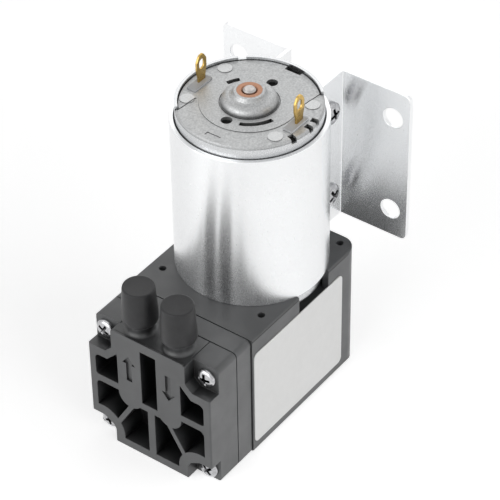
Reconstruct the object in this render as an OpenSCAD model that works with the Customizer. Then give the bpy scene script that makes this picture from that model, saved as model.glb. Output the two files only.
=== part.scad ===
// Mini vacuum pump: a brushed motor stands on a moulded casing, turns an eccentric and
// works a diaphragm in the head at the front.
// Z is up from the base, the motor's axis is the Z axis and the head faces -Y.

/* [Motor] */
// Outside diameter of the motor can
can_d = 35.7; // [34:0.1:37.8]
// Length of the motor can from its seat to its rim
can_len = 52.4; // [48:0.2:58]
// Sheet thickness of the can
can_wall = 0.8; // [0.8:0.1:1.4]
// Depth of the end cap's face below the rim
cap_inset = 0.8; // [0.5:0.1:1.5]
// Sheet thickness of the end cap
cap_sheet = 0.8; // [0.6:0.1:1]
// Diameter of the rotor shaft
shaft_d = 3.175; // [2.8:0.025:3.6]
// Outside diameter of the sintered bushes
bush_d = 6.2; // [5.6:0.1:6.6]
// Height of the end cap's dome
dome_h = 3.5; // [3:0.1:4.5]
// Diameter of the dome at its foot
dome_d = 13.6; // [12.4:0.1:15]
// Distance of each terminal's middle inside the can's outer face
terminal_inset = 3.65; // [3.3:0.05:4.2]
// Width of a terminal blade at its foot
terminal_w = 2.6; // [2.2:0.1:3.2]
// Width of a terminal blade at its eye
terminal_eye_w = 3.7; // [3.4:0.1:4.2]
// Thickness of a terminal blade
terminal_t = 0.5; // [0.4:0.1:1]
// Height of a terminal above the end cap
terminal_h = 7.9; // [6:0.1:10]
// Radial thickness of the field magnets
magnet_t = 3.1; // [2.5:0.1:3.6]
// Length of the rotor's iron core
core_len = 28; // [22:1:32]
// Diameter of the commutator
commutator_d = 7.8; // [7:0.1:9]

/* [Casing] */
// Height of the casing and of the head
casing_h = 36.6; // [35:0.1:40]
// Depth of the motor's seat below the casing's top
seat_depth = 4.4; // [3.6:0.1:5.4]
// Wall outside the motor at the casing's two sides
side_wall = 0.95; // [0.9:0.05:2.5]
// Distance from the motor's axis to the rear wall
rear_reach = 19.3; // [18.4:0.1:22]
// Distance from the motor's axis to the diaphragm joint
front_reach = 25.6; // [25:0.1:29]
// Wall outside the motor at the diaphragm joint
front_wall = 0.9; // [0.6:0.05:1.2]
// Radius of the two rear corners
rear_corner_r = 4.2; // [2:0.1:5]
// Width of the open notch beside the motor
notch_w = 12.4; // [8:0.1:14]
// Diameter of the small holes in the top
top_hole_d = 1.9; // [1.5:0.1:2.4]
// Thickness of the base cover
base_cover_t = 2.2; // [1.8:0.1:3]

/* [Head] */
// Step from the casing's side in to the side of the valve plate and the head
head_step = 0.3; // [0.1:0.05:0.5]
// Thickness of the valve plate
plate_t = 6; // [5.1:0.1:6.5]
// Thickness of the head cover
cover_t = 10.6; // [10.4:0.1:13]
// Thickness of the head cover behind its cored pockets
cover_floor_t = 3.3; // [2.8:0.1:4]
// Distance of the head screws from the head's sides
screw_inset = 3.25; // [2.9:0.05:3.6]
// Height of the lower head screws above the head's bottom
lower_screw_z = 3.1; // [2.7:0.1:3.6]
// Height of the upper head screws above the head's centre
upper_screw_z = 14.7; // [14.4:0.1:15.6]
// Depth of the corner recesses for the screw heads
corner_depth = 3.6; // [2.8:0.1:4.2]
// Outer wall of the head cover
cover_wall = 2; // [1.6:0.1:2.4]
// Thickness of the cored ribs
rib_t = 2; // [1.4:0.1:2.4]
// Distance of each port from the head's centre
port_x = 5.8; // [5.6:0.1:6.4]
// Width of the flat bosses that carry the ports
boss_w = 7.2; // [6.8:0.1:7.6]
// Diameter of the port and its air way
air_way_d = 3.2; // [2.4:0.1:3.4]
// Diameter of a port's neck
neck_d = 6.6; // [6.2:0.1:7]
// Visible height of a port's neck
neck_h = 2.8; // [2:0.1:4]
// Diameter of a port's hose barb
barb_d = 5.4; // [4.6:0.1:5.6]
// Diameter of a dust cap at its top
dust_cap_top_d = 8; // [7.6:0.1:8.6]
// Diameter of a dust cap at its foot
dust_cap_foot_d = 9; // [8.8:0.1:10]
// Height of a dust cap
dust_cap_h = 10.4; // [8:0.1:13]

/* [Diaphragm drive] */
// Offset of the eccentric pin from the shaft
throw = 1.5; // [1:0.05:1.6]
// Thickness of the diaphragm
diaphragm_t = 1.2; // [0.8:0.1:1.5]
// Diameter of the diaphragm
diaphragm_d = 29; // [27:0.5:30]
// Diameter of the bore behind the diaphragm
throat_d = 21; // [19:0.5:21.5]
// Diameter of the clamping disc and the rod's head
clamp_d = 13; // [11:0.5:14]
// Thickness of the clamping disc
clamp_t = 1.6; // [1.2:0.1:1.6]
// Outside diameter of the rod's bearing
bearing_d = 13; // [12.5:0.1:14]
// Bore of the rod's bearing
bearing_bore_d = 5; // [4.6:0.1:5.4]
// Width of the rod's bearing
bearing_w = 4; // [3.5:0.1:5]
// Wall of the rod's ring round the bearing
ring_wall = 2.4; // [2:0.1:3]

/* [Holder] */
// Sheet thickness of the motor holder
holder_t = 1.1; // [0.8:0.1:1.5]
// Height of the motor holder
holder_h = 43.9; // [40:0.1:46]
// Distance between the outside faces of the two legs
leg_span = 16.5; // [14:0.5:20]
// Distance from the can's back to the flanges' front face
flange_reach = 8.95; // [8:0.05:14]
// Overall width across the flanges
flange_span = 55.8; // [54:0.1:64]
// Distance between the mounting holes across the flanges
hole_pitch_x = 46; // [44:0.5:48]
// Distance between the mounting holes up the flanges
hole_pitch_z = 28; // [24:1:32]
// Diameter of the mounting holes
mount_hole_d = 5.5; // [4.2:0.1:6]
// Distance between the two clamp screws
clamp_pitch = 25; // [20:1:30]
// Diameter of the clamp screws
clamp_screw_d = 3; // [2.5:0.1:3.5]

/* [Label] */
// Length of the bare side label
label_len = 37.1; // [30:0.1:38]
// Height of the bare side label
label_h = 29; // [20:0.1:29.5]

/* [Hidden] */
$fn = 72;

// Clearances: press or glued seat, running fit, open gap and cutting overrun
seat_fit = 0.02;
run_fit = 0.05;
gap = 0.3;
over = 1;

// Main planes
can_r = can_d / 2;
seat_z = casing_h - seat_depth;
can_top = seat_z + can_len;
terminal_x = can_r - terminal_inset;
cap_z = can_top - cap_inset;
dome_z = cap_z + dome_h;
joint_y = -front_reach;
plate_y = joint_y - plate_t;
face_y = plate_y - cover_t;
head_z = casing_h / 2;

// Casing
casing_w = can_d + 2 * side_wall;
casing_front_w = can_d + 2 * front_wall;
head_w = casing_front_w - 2 * head_step;
screw_pitch = head_w / 2 - screw_inset;
shoulder_y = -8;
pocket_r = can_r + gap / 2;
edge_r = 0.5;
edge_groove = 0.25;
edge_groove_z = casing_h - 0.75;
seat_trench = 1.8;
pocket_floor_z = seat_z - seat_trench;
notch_floor_z = pocket_floor_z;
seat_ledge = 2.6;
seat_r = can_r - seat_ledge;
seat_plate_t = 3.6;
chamber_wall = 3.5;
chamber_x = casing_w / 2 - chamber_wall;
chamber_top = seat_z - seat_plate_t;
chamber_front_y = -13;
chamber_back_y = rear_reach - chamber_wall;
chamber_r = 4;
throat_r = throat_d / 2;
top_hole_depth = 8;
top_hole_x = 15;
top_hole_front_y = -16.7;
top_hole_back_y = rear_reach - 2.7;

// Base cover, seated in a rebate round the chamber
cover_lip = 1.4;
base_gap = 0.15;
base_screw_d = 2.2;
base_screw_head_d = 4;
base_screw_sink = 0.2;
base_boss_r = 2.7;
base_boss_h = 9;
base_screw_x = chamber_x - base_boss_r + 0.4;
base_screw_front_y = chamber_front_y + base_boss_r - 0.4;
base_screw_back_y = chamber_back_y - base_boss_r + 0.4;

// Motor face, boss and screws
motor_boss_r = 6.5;
motor_boss_h = 4.4;
motor_screw_d = 3;
motor_screw_head_d = 5.4;
motor_screw_gap = 0.3;
motor_screw_x = chamber_x - motor_screw_head_d / 2 - motor_screw_gap;
motor_screw_head_h = 1.9;
motor_screw_bite = 1.8;

// Can, end cap and terminals
can_foot_r = 1;
rim_notch_angle = 132;
rim_notch_w = 2;
rim_notch_depth = 0.6;
crimp_depth = 2.2;
magnet_gap = 9;
collar_h = 1.2;
collar_r = bush_d / 2 + 0.9;
dome_round_r = 1.7;
cap_gap = 0.25;
bush_sink = 0.45;
vent_ring_r = 9.1;
vent_d = 2.8;
vent_slot_w = 1.3;
pad_r = 12;
emboss_h = 0.15;
cap_r = can_r - can_wall - cap_gap;
coin_d = 3.7;
coin_ring_r = cap_r - coin_d / 2 - 0.1;
coin_angle = 30.4;
slot_from = -69;
slot_to = -18;
short_slot_to = -39;
crimp_angles = [9.5, 0, -18.5];
crimp_w = 1.5;
crimp_bite = 0.8;
rear_flat_w = 4.5;
rear_flat_depth = 1.3;
lid_from = -135;
lid_to = 45;
lid_r = can_r - 0.1;
lid_round = 0.3;
fold_x = cap_r - 5.3;
fold_y = 9;
fold_len = 6;
fold_tilt = 6;
mark_inset = 1.2;
insulator_w = 2.6;
insulator_len = 6.6;
insulator_y = -1;
insulator_h = 0.45;
terminal_top = cap_z + terminal_h;
eye_w = 1.9;
eye_len = 0.9;

// Rotor stack, from the crank plane up
shaft_r = shaft_d / 2;
shaft_tip = dome_z + 0.5;
shaft_chamfer = 0.4;
hub_r = 5.6;
hub_z = head_z + bearing_w / 2 + 1.3;
hub_top = seat_z - motor_boss_h - 0.7;
counterweight_r = 9.5;
grub_d = 3;
grub_z = (hub_z + 2.4 + hub_top) / 2;
magnet_len = core_len + 8;
air_gap = 0.5;
magnet_r = can_r - can_wall - seat_fit;
core_r = magnet_r - magnet_t - air_gap;
core_mid_z = seat_z + 4 + magnet_len / 2;
poles = 5;
arm_w = 3.6;
core_hub_r = 4.4;
shoe_t = 2;
end_turn = 3.2;
slot_w = 2.2;
coil_gap = 1.2;
commutator_r = commutator_d / 2;
commutator_z = core_mid_z + core_len / 2 + end_turn + 0.4;
commutator_len = 5.6;
brush_plate_t = 2;
brush_plate_z = cap_z - cap_sheet - brush_plate_t;
brush_z = commutator_z + 3.2;
brush_w = 3;
brush_len = 3;
brush_arm_w = 2.4;
brush_arm_t = 0.5;

// Bearing and rod
bearing_z = head_z - bearing_w / 2;
race_t = 1.25;
ball_r = 0.95;
ball_groove_r = ball_r + run_fit;
ball_orbit_r = (bearing_bore_d / 2 + bearing_d / 2) / 2;
ball_count = 8;
pin_r = bearing_bore_d / 2 - seat_fit;
pin_tail = 1.5;
ring_groove_z = 0.95;
ring_groove_w = 0.8;
ring_groove_depth = 0.4;
ring_r = bearing_d / 2 + ring_wall;
rod_t = bearing_w + 1;
rod_head_t = 2.5;
rod_head_w = 8;
rod_neck_w = 10;
rod_rim = 1.2;
rod_web_t = 1.6;
boss_len = 3;
clamp_bolt_d = 3;
clamp_bolt_head_d = 5.2;
rest_y = throw;

// Diaphragm planes at rest, with the pin at the rear of its circle
sheet_back_y = joint_y + diaphragm_t;
centre_front_y = joint_y + rest_y;
centre_back_y = sheet_back_y + rest_y;
clamp_front_y = centre_front_y - clamp_t;
clamp_r = clamp_d / 2;
bead_w = 1.6;
bead_h = 0.8;
chamber_depth = clamp_t + throw + gap;

// Valves
gasket_t = 0.6;
gasket_w = 27;
flap_r = 2.8;
flap_z = head_z - 0.5;
flap_top = flap_z + 4.5;
flap_lift = 1.8;
valve_hole_r = air_way_d / 2;

// Head cover
front_corner_r = 0.4;
cover_edge_r = 1.4;
bottom_edge_r = 0.7;
notch_reach = 7.3;
notch_drop = 7.5;
notch_x = head_w / 2 - notch_reach;
notch_top_z = casing_h - notch_drop;
notch_bottom_z = 7;
notch_chamfer = 2;
sill_chamfer = 3.3;
notch_wall = 1.7;
notch_sill = 2.5;
boss_x = port_x + 0.15;
lobe_r = 6.8;
pocket_round = 1.4;
side_rib_z = flap_z + 1.3;
web_z = flap_z - 1.25;
centre_rib_x = 0.3;
centre_rib_t = 2.1;
lower_rib_start = [boss_x, flap_z - boss_w / 2];
lower_rib_end = [screw_pitch - 5.2, lower_screw_z + 4.3];
lower_rib_angle = atan2(lower_rib_end[1] - lower_rib_start[1], lower_rib_end[0] - lower_rib_start[0]);
lower_rib_t = 1.3;
head_screw_d = 2.6;
head_screw_head_d = 5.1;
head_screw_head_h = 1.8;
head_screw_bite = 6;
head_screw_end_y = joint_y + head_screw_bite;
port_y = (face_y + plate_y) / 2 - 0.25;
neck_top = casing_h + neck_h;
neck_flare = 1;
barb_r = barb_d / 2;
barb_step = 3;
dust_cap_wall = 1.3;
foot_round = 0.7;
port_top = neck_top + dust_cap_h - dust_cap_wall - gap;
lip_w = 0.5;
lip_h = 0.35;
arrow_depth = 0.5;
arrow_w = 1.65;
arrow_len = 7.9;
arrow_head_w = 3.9;
arrow_head_len = 2.4;
arrow_z = head_z + 8.5;
seam_groove = 0.3;
plinth_x = 10.8;

// Holder
holder_r = can_r + 0.25;
band_r = holder_r + holder_t;
holder_mid_z = casing_h + holder_h / 2;
leg_x = leg_span / 2;
flange_y = can_r + flange_reach;
flange_corner_r = 1.8;
clamp_y = flange_y - 5.4;
clamp_head_d = 6;
clamp_head_h = 2;
nut_af = 5.5;
nut_t = 2.4;

// Label
label_t = 0.2;
label_r = 1.5;
label_y = joint_y + 0.5;
label_z = 2.6;

module along_x(x0, x1) {
    translate([x0, 0, 0]) rotate([90, 0, 90]) linear_extrude(x1 - x0) children();
}

module along_y(y0, y1) {
    translate([0, y1, 0]) rotate([90, 0, 0]) linear_extrude(y1 - y0) children();
}

// Local +Z points along +Y on the head's centre line
module on_head_axis(y) {
    translate([0, y, head_z]) rotate([-90, 0, 0]) children();
}

module round_bar_y(x, z, r, y0, y1) {
    translate([x, y0, z]) rotate([-90, 0, 0]) cylinder(r = r, h = y1 - y0);
}

module rounded_rect(w, h, r) {
    square([w, h - 2 * r], center = true);
    square([w - 2 * r, h], center = true);
    for (x = [-1, 1], y = [-1, 1]) translate([x * (w / 2 - r), y * (h / 2 - r)]) circle(r);
}

module ring(r_out, r_in, h) {
    difference() {
        cylinder(r = r_out, h = h);
        translate([0, 0, -over]) cylinder(r = r_in, h = h + 2 * over);
    }
}

// Crossed recess of a screw head, sunk from z = 0 down
module cross_recess(size, depth) {
    for (a = [0, 90]) rotate(a) translate([-size / 2, -size / 9, -depth])
        cube([size, size / 4.5, depth + over]);
}

// Head above z = 0, shank below it
module pan_screw(d, head_d, head_h, length) {
    dome = head_d * 0.95;
    difference() {
        union() {
            intersection() {
                cylinder(d = head_d, h = head_h);
                translate([0, 0, head_h - dome]) sphere(dome);
            }
            translate([0, 0, -length]) cylinder(d = d, h = length + head_h / 2);
        }
        translate([0, 0, head_h]) cross_recess(head_d * 0.6, head_h * 0.55);
    }
}

// Top of the head at z = 0, all of the screw below it
module flat_screw(d, head_d, length) {
    sink = (head_d - d) / 2;
    difference() {
        rotate_extrude() polygon([
            [0, 0], [head_d / 2, 0], [d / 2, -sink], [d / 2, -length], [0, -length]
        ]);
        cross_recess(head_d * 0.55, sink * 0.8);
    }
}

module casing_outline() {
    half = casing_w / 2;
    front = casing_front_w / 2;
    square_y = rear_reach - rear_corner_r;
    polygon([
        [-front, joint_y], [front, joint_y], [half, shoulder_y], [half, square_y],
        [-half, square_y], [-half, shoulder_y]
    ]);
    translate([-half + rear_corner_r, 0]) square([casing_w - 2 * rear_corner_r, rear_reach]);
    for (x = [-1, 1]) translate([x * (half - rear_corner_r), square_y]) circle(rear_corner_r);
}

module chamber_plan() {
    w = 2 * chamber_x;
    d = chamber_back_y - chamber_front_y;
    translate([0, chamber_front_y + d / 2]) rounded_rect(w, d, chamber_r);
}

module base_plan(shrink) {
    w = 2 * (chamber_x + cover_lip) - 2 * shrink;
    d = chamber_back_y - chamber_front_y + 2 * cover_lip - 2 * shrink;
    translate([0, (chamber_front_y + chamber_back_y) / 2]) rounded_rect(w, d, chamber_r);
}

module at_base_screws() {
    for (x = [-1, 1], y = [base_screw_front_y, base_screw_back_y])
        translate([x * base_screw_x, y, 0]) children();
}

module at_head_screws() {
    for (x = [-1, 1], z = [lower_screw_z - head_z, upper_screw_z])
        translate([x * screw_pitch, 0, head_z + z]) rotate([90, 0, 0]) children();
}

module at_motor_screws() {
    for (x = [-1, 1]) translate([x * motor_screw_x, 0, 0]) children();
}

module casing_block() {
    intersection() {
        linear_extrude(casing_h) casing_outline();
        along_y(joint_y - over, rear_reach + over)
            translate([0, head_z]) rounded_rect(casing_w, casing_h, edge_r);
    }
}

// Fine parting line along the casing's sides, just under the top
module parting_line() {
    half = casing_w / 2;
    for (side = [0, 1]) mirror([side, 0, 0])
        translate([half - edge_groove, shoulder_y, edge_groove_z])
            cube([edge_groove + over, rear_reach - rear_corner_r - shoulder_y, edge_groove]);
    front = casing_front_w / 2;
    for (side = [0, 1]) mirror([side, 0, 0]) translate([0, 0, edge_groove_z])
        linear_extrude(edge_groove) polygon([
            [front - edge_groove, joint_y - over], [half - edge_groove, shoulder_y],
            [half + over, shoulder_y], [front + over, joint_y - over]
        ]);
}

module motor_pocket() {
    difference() {
        translate([0, 0, pocket_floor_z]) cylinder(r = pocket_r, h = casing_h);
        cylinder(r = seat_r, h = seat_z);
    }
    cylinder(r = motor_boss_r + gap, h = casing_h);
    at_motor_screws() cylinder(d = motor_screw_d + gap, h = casing_h);
}

module casing() {
    color("#3c3d40") difference() {
        casing_block();
        motor_pocket();
        parting_line();
        // Crank chamber, with screw bosses in its four corners
        difference() {
            translate([0, 0, base_cover_t]) linear_extrude(chamber_top - base_cover_t) chamber_plan();
            at_base_screws() cylinder(r = base_boss_r, h = base_cover_t + base_boss_h);
        }
        at_base_screws() cylinder(d = base_screw_d, h = base_cover_t + base_boss_h - over);
        translate([0, 0, -over]) linear_extrude(base_cover_t + over) base_plan(0);
        // Throat, diaphragm rebate and bead groove
        round_bar_y(0, head_z, throat_r, joint_y - over, chamber_front_y + over);
        round_bar_y(0, head_z, diaphragm_d / 2 + seat_fit, joint_y - over, sheet_back_y);
        on_head_axis(sheet_back_y - over)
            ring(diaphragm_d / 2 + seat_fit, diaphragm_d / 2 - bead_w - seat_fit, bead_h + seat_fit + over);
        // Open notch beside the motor
        translate([seat_r, -notch_w / 2, notch_floor_z]) cube([casing_w, notch_w, casing_h]);
        for (x = [-1, 1], y = [top_hole_front_y, top_hole_back_y])
            translate([x * top_hole_x, y, casing_h - top_hole_depth])
                cylinder(d = top_hole_d, h = casing_h);
        translate([0, head_screw_end_y + 1, 0]) at_head_screws()
            cylinder(d = head_screw_d, h = head_screw_end_y + 1 - joint_y + over);
    }
}

module base_cover() {
    sink = (base_screw_head_d - base_screw_d) / 2;
    color("#36373a") difference() {
        linear_extrude(base_cover_t) base_plan(base_gap);
        at_base_screws() {
            translate([0, 0, -over]) cylinder(d = base_screw_d + gap, h = base_cover_t + 2 * over);
            translate([0, 0, -over]) cylinder(d = base_screw_head_d + gap, h = over + base_screw_sink);
            translate([0, 0, base_screw_sink])
                cylinder(d1 = base_screw_head_d + gap, d2 = base_screw_d + gap, h = sink);
        }
    }
}

module base_screws() {
    color("#c9cbcc") at_base_screws() translate([0, 0, base_screw_sink]) mirror([0, 0, 1])
        flat_screw(base_screw_d, base_screw_head_d, base_cover_t + base_boss_h - 2);
}

module motor_screws() {
    color("#c9cbcc") at_motor_screws() translate([0, 0, chamber_top]) mirror([0, 0, 1])
        pan_screw(motor_screw_d, motor_screw_head_d, motor_screw_head_h,
            seat_plate_t + can_wall + motor_screw_bite);
}

module motor_can() {
    foot = can_foot_r;
    bore_r = can_r - can_wall;
    color("#c4c6c8") difference() {
        union() {
            translate([0, 0, seat_z]) rotate_extrude() {
                square([can_r - foot, can_len]);
                translate([0, foot]) square([can_r, can_len - foot]);
                translate([can_r - foot, foot]) circle(foot);
            }
            translate([0, 0, seat_z - motor_boss_h]) cylinder(r = motor_boss_r, h = motor_boss_h + over);
        }
        translate([0, 0, seat_z + can_wall]) cylinder(r = bore_r, h = can_len);
        cylinder(d = bush_d + 2 * seat_fit, h = can_top);
        at_motor_screws() cylinder(d = motor_screw_d + 2 * seat_fit, h = seat_z + 2 * can_wall);
        // Rim cut down to carry the front half of the end cap
        lid_sector(0, cap_z - cap_sheet, can_len);
        // Assembly notch in the rim
        rotate(rim_notch_angle) translate([bore_r - over, -rim_notch_w / 2, can_top - rim_notch_depth])
            cube([can_wall + 2 * over, rim_notch_w, rim_notch_depth + over]);
        // Crimp notches
        for (a = crimp_angles) rotate(a) translate([bore_r - over, -crimp_w / 2, can_top - crimp_depth])
            cube([can_wall + 2 * over, crimp_w, crimp_depth + over]);
    }
}

module front_bush() {
    z = seat_z - motor_boss_h;
    color("#b07a4a") translate([0, 0, z]) ring(bush_d / 2, shaft_r + run_fit, motor_boss_h + can_wall);
}

module rear_bush() {
    h = dome_h + cap_sheet + 0.4;
    color("#b8703f") difference() {
        translate([0, 0, dome_z - h]) ring(bush_d / 2, shaft_r + run_fit, h);
        translate([0, 0, dome_z - bush_sink])
            cylinder(r1 = shaft_r, r2 = shaft_r + bush_sink + over, h = bush_sink + over);
    }
}

module field_magnets() {
    color("#4b4b4d") difference() {
        translate([0, 0, core_mid_z - magnet_len / 2]) ring(magnet_r, magnet_r - magnet_t, magnet_len);
        for (y = [-1, 1]) translate([-magnet_gap / 2, y * can_r - can_r / 2, seat_z])
            cube([magnet_gap, can_r, can_len]);
    }
}

module at_terminals(grow) {
    half = terminal_t / 2 + grow;
    for (x = [-terminal_x, terminal_x]) along_x(x - half, x + half) children();
}

// Narrow foot up to the insulator, wider round the eye
module terminal_outline(grow) {
    foot = terminal_w / 2 + grow;
    wide = terminal_eye_w / 2;
    foot_top = cap_z + terminal_h * 0.2;
    translate([-foot, 0]) square([2 * foot, foot_top]);
    polygon([
        [-foot, foot_top], [foot, foot_top], [wide, terminal_top - terminal_h * 0.52],
        [wide, terminal_top - wide * 0.95], [wide * 0.4, terminal_top], [-wide * 0.4, terminal_top],
        [-wide, terminal_top - wide * 0.95], [-wide, terminal_top - terminal_h * 0.52]
    ]);
}

module at_insulators() {
    for (x = [-1, 1]) translate([x * (terminal_x - 0.2), insulator_y, 0]) children();
}

module brush_plate() {
    color("#2b2b2c") difference() {
        translate([0, 0, brush_plate_z])
            ring(can_r - can_wall - seat_fit, dome_d / 2 + gap, brush_plate_t);
        insulator_blocks(seat_fit, over);
    }
}

module insulator_blocks(grow, below) {
    w = insulator_w + 2 * grow;
    len = insulator_len + 2 * grow;
    at_insulators() translate([-w / 2, -len / 2, brush_plate_z - below])
        cube([w, len, cap_z + insulator_h - brush_plate_z + below]);
}

module terminal_insulators() {
    color("#c4c4c0") difference() {
        insulator_blocks(0, 0);
        at_terminals(seat_fit) terminal_outline(seat_fit);
    }
}

module arc_slot(r, w, from, to, z0, h) {
    reach = 2 * r;
    translate([0, 0, z0]) intersection() {
        ring(r + w / 2, r - w / 2, h);
        translate([0, 0, -over]) linear_extrude(h + 3 * over) polygon([
            [0, 0], reach * [cos(from), sin(from)],
            reach * [cos((from + to) / 2), sin((from + to) / 2)], reach * [cos(to), sin(to)]
        ]);
    }
}

// Half-space on the front right of the motor's axis, narrowed at both ends
module lid_sector(narrow, z0, h) {
    reach = 2 * can_r;
    translate([0, 0, z0]) rotate((lid_from + lid_to) / 2) linear_extrude(h)
        translate([narrow, -reach]) square([reach, 2 * reach]);
}

module end_cap() {
    dome_r = dome_d / 2;
    step_h = dome_h - collar_h;
    below = cap_z - cap_sheet - over;
    through = cap_sheet + 2 * over;
    color("#b9bbbd") difference() {
        union() {
            translate([0, 0, cap_z]) rotate_extrude() difference() {
                union() {
                    translate([0, -cap_sheet]) square([cap_r, cap_sheet]);
                    square([pad_r, emboss_h]);
                    square([dome_r - dome_round_r, step_h]);
                    square([dome_r, step_h - dome_round_r]);
                    translate([dome_r - dome_round_r, step_h - dome_round_r]) circle(dome_round_r);
                    polygon([
                        [0, 0], [collar_r + 1.1, step_h - 0.1], [collar_r + 0.35, step_h + 0.25],
                        [collar_r, step_h + 0.7], [collar_r - 0.15, dome_h - 0.15],
                        [collar_r - 0.3, dome_h], [0, dome_h]
                    ]);
                }
                translate([0, -cap_sheet - over])
                    square([bush_d / 2 + seat_fit, dome_h + cap_sheet + 2 * over]);
                translate([0, -cap_sheet - over]) square([dome_r - dome_round_r, step_h + over]);
            }
            // Front half of the plate, spread over the rim
            intersection() {
                translate([0, 0, cap_z - cap_sheet]) {
                    cylinder(r = lid_r, h = cap_sheet - lid_round);
                    translate([0, 0, cap_sheet - lid_round])
                        cylinder(r1 = lid_r, r2 = lid_r - lid_round, h = lid_round);
                }
                difference() {
                    lid_sector(0.3, below, through + over);
                    translate([0, 0, below]) cylinder(r = dome_r + 1, h = through + over);
                }
            }
            // Raised spots
            for (a = [coin_angle, 180 - coin_angle, 180 + coin_angle, -coin_angle])
                rotate(a) translate([coin_ring_r, 0, cap_z - cap_sheet / 2])
                    cylinder(d = coin_d, h = cap_sheet / 2 + emboss_h);
        }
        // Round and curved vents, and the ring line round the dome
        for (y = [-1, 1]) translate([0, y * vent_ring_r, below]) cylinder(d = vent_d, h = through);
        arc_slot(vent_ring_r, vent_slot_w, slot_from, slot_to, below, through);
        rotate(180) arc_slot(vent_ring_r, vent_slot_w, short_slot_to, slot_to, below, through);
        translate([0, 0, cap_z]) ring(dome_r + 0.5, dome_r + 0.15, over);
        insulator_blocks(seat_fit, 0);
        // Crimp notches and the flat at the rear edge
        for (a = crimp_angles) rotate(a) translate([cap_r - crimp_bite, -crimp_w / 2, below])
            cube([crimp_bite + 2 * over, crimp_w, through]);
        translate([-rear_flat_w * 0.22, cap_r - rear_flat_depth, below])
            cube([rear_flat_w, can_r, through]);
        // Fold lines, and a stamped mark at the front
        for (a = [0, 180]) rotate(a) translate([fold_x, fold_y, cap_z - emboss_h]) rotate(-fold_tilt)
            translate([-emboss_h, -fold_len / 2, 0]) cube([2 * emboss_h, fold_len, over]);
        translate([-1.1, mark_inset - cap_r - 0.6, cap_z - emboss_h]) cube([3.8, 1.2, over]);
    }
}

module terminals() {
    root_z = brush_plate_z - 1;
    eye_z = terminal_top - terminal_eye_w * 0.6;
    color("#c9a54e") at_terminals(0) difference() {
        terminal_outline(0);
        translate([-terminal_eye_w, 0]) square([2 * terminal_eye_w, root_z]);
        translate([-eye_w / 2, eye_z - eye_len]) square([eye_w, eye_len]);
        for (z = [0, eye_len]) translate([0, eye_z - z]) circle(eye_w / 2);
    }
}

module brush_arms() {
    back_x = commutator_r + brush_len;
    color("#b98a4a") for (side = [0, 1]) mirror([side, 0, 0]) along_y(-brush_arm_t / 2, brush_arm_t / 2) {
        translate([terminal_x - brush_arm_w / 2, brush_z - brush_arm_w / 2])
            square([brush_arm_w, brush_plate_z - 1 - brush_z + brush_arm_w / 2]);
        translate([back_x, brush_z - brush_arm_w / 2]) square([terminal_x - back_x, brush_arm_w]);
    }
}

module carbon_brushes() {
    color("#2b2b2c") difference() {
        for (side = [0, 1]) mirror([side, 0, 0])
            translate([0, -brush_w / 2, brush_z - brush_w / 2])
                cube([commutator_r + brush_len, brush_w, brush_w]);
        cylinder(r = commutator_r + run_fit, h = can_top);
    }
}

module rotor_shaft() {
    foot_z = hub_z + 0.5;
    color("#d2d3d5") {
        translate([0, 0, foot_z]) cylinder(r = shaft_r, h = shaft_tip - foot_z - shaft_chamfer);
        translate([0, 0, shaft_tip - shaft_chamfer])
            cylinder(r1 = shaft_r, r2 = shaft_r - shaft_chamfer, h = shaft_chamfer);
    }
}

module core_arms(grow) {
    for (i = [0 : poles - 1]) rotate(i * 360 / poles)
        translate([0, -arm_w / 2 - grow]) square([core_r - shoe_t / 2, arm_w + 2 * grow]);
}

module armature_core() {
    color("#6f7276") translate([0, 0, core_mid_z - core_len / 2]) linear_extrude(core_len) difference() {
        union() {
            circle(core_hub_r);
            difference() {
                circle(core_r);
                circle(core_r - shoe_t);
            }
            core_arms(0);
        }
        for (i = [0 : poles - 1]) rotate((i + 0.5) * 360 / poles)
            translate([core_r - shoe_t - over, -slot_w / 2]) square([shoe_t + 2 * over, slot_w]);
        circle(shaft_r + seat_fit);
    }
}

module armature_windings() {
    r = core_r - shoe_t - gap;
    h = core_len + 2 * end_turn;
    color("#a5552e") translate([0, 0, core_mid_z]) difference() {
        translate([0, 0, -h / 2]) ring(r, core_hub_r + seat_fit, h);
        translate([0, 0, -core_len / 2 - seat_fit])
            linear_extrude(core_len + 2 * seat_fit) core_arms(seat_fit);
        for (i = [0 : poles - 1]) rotate((i + 0.5) * 360 / poles)
            translate([r * 0.65, -coil_gap / 2, -h]) cube([r, coil_gap, 2 * h]);
    }
}

module commutator() {
    slit = 0.4;
    color("#b87333") translate([0, 0, commutator_z]) difference() {
        union() {
            cylinder(r = commutator_r, h = commutator_len);
            cylinder(r = commutator_r + 1.2, h = 0.9);
        }
        translate([0, 0, -over]) cylinder(r = shaft_r + seat_fit, h = commutator_len + 2 * over);
        for (i = [0 : poles - 1]) rotate((i + 0.5) * 360 / poles)
            translate([commutator_r - 0.8, -slit / 2, -over]) cube([3, slit, commutator_len + 2 * over]);
    }
}

module at_pin(z) {
    translate([0, throw, z]) children();
}

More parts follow.
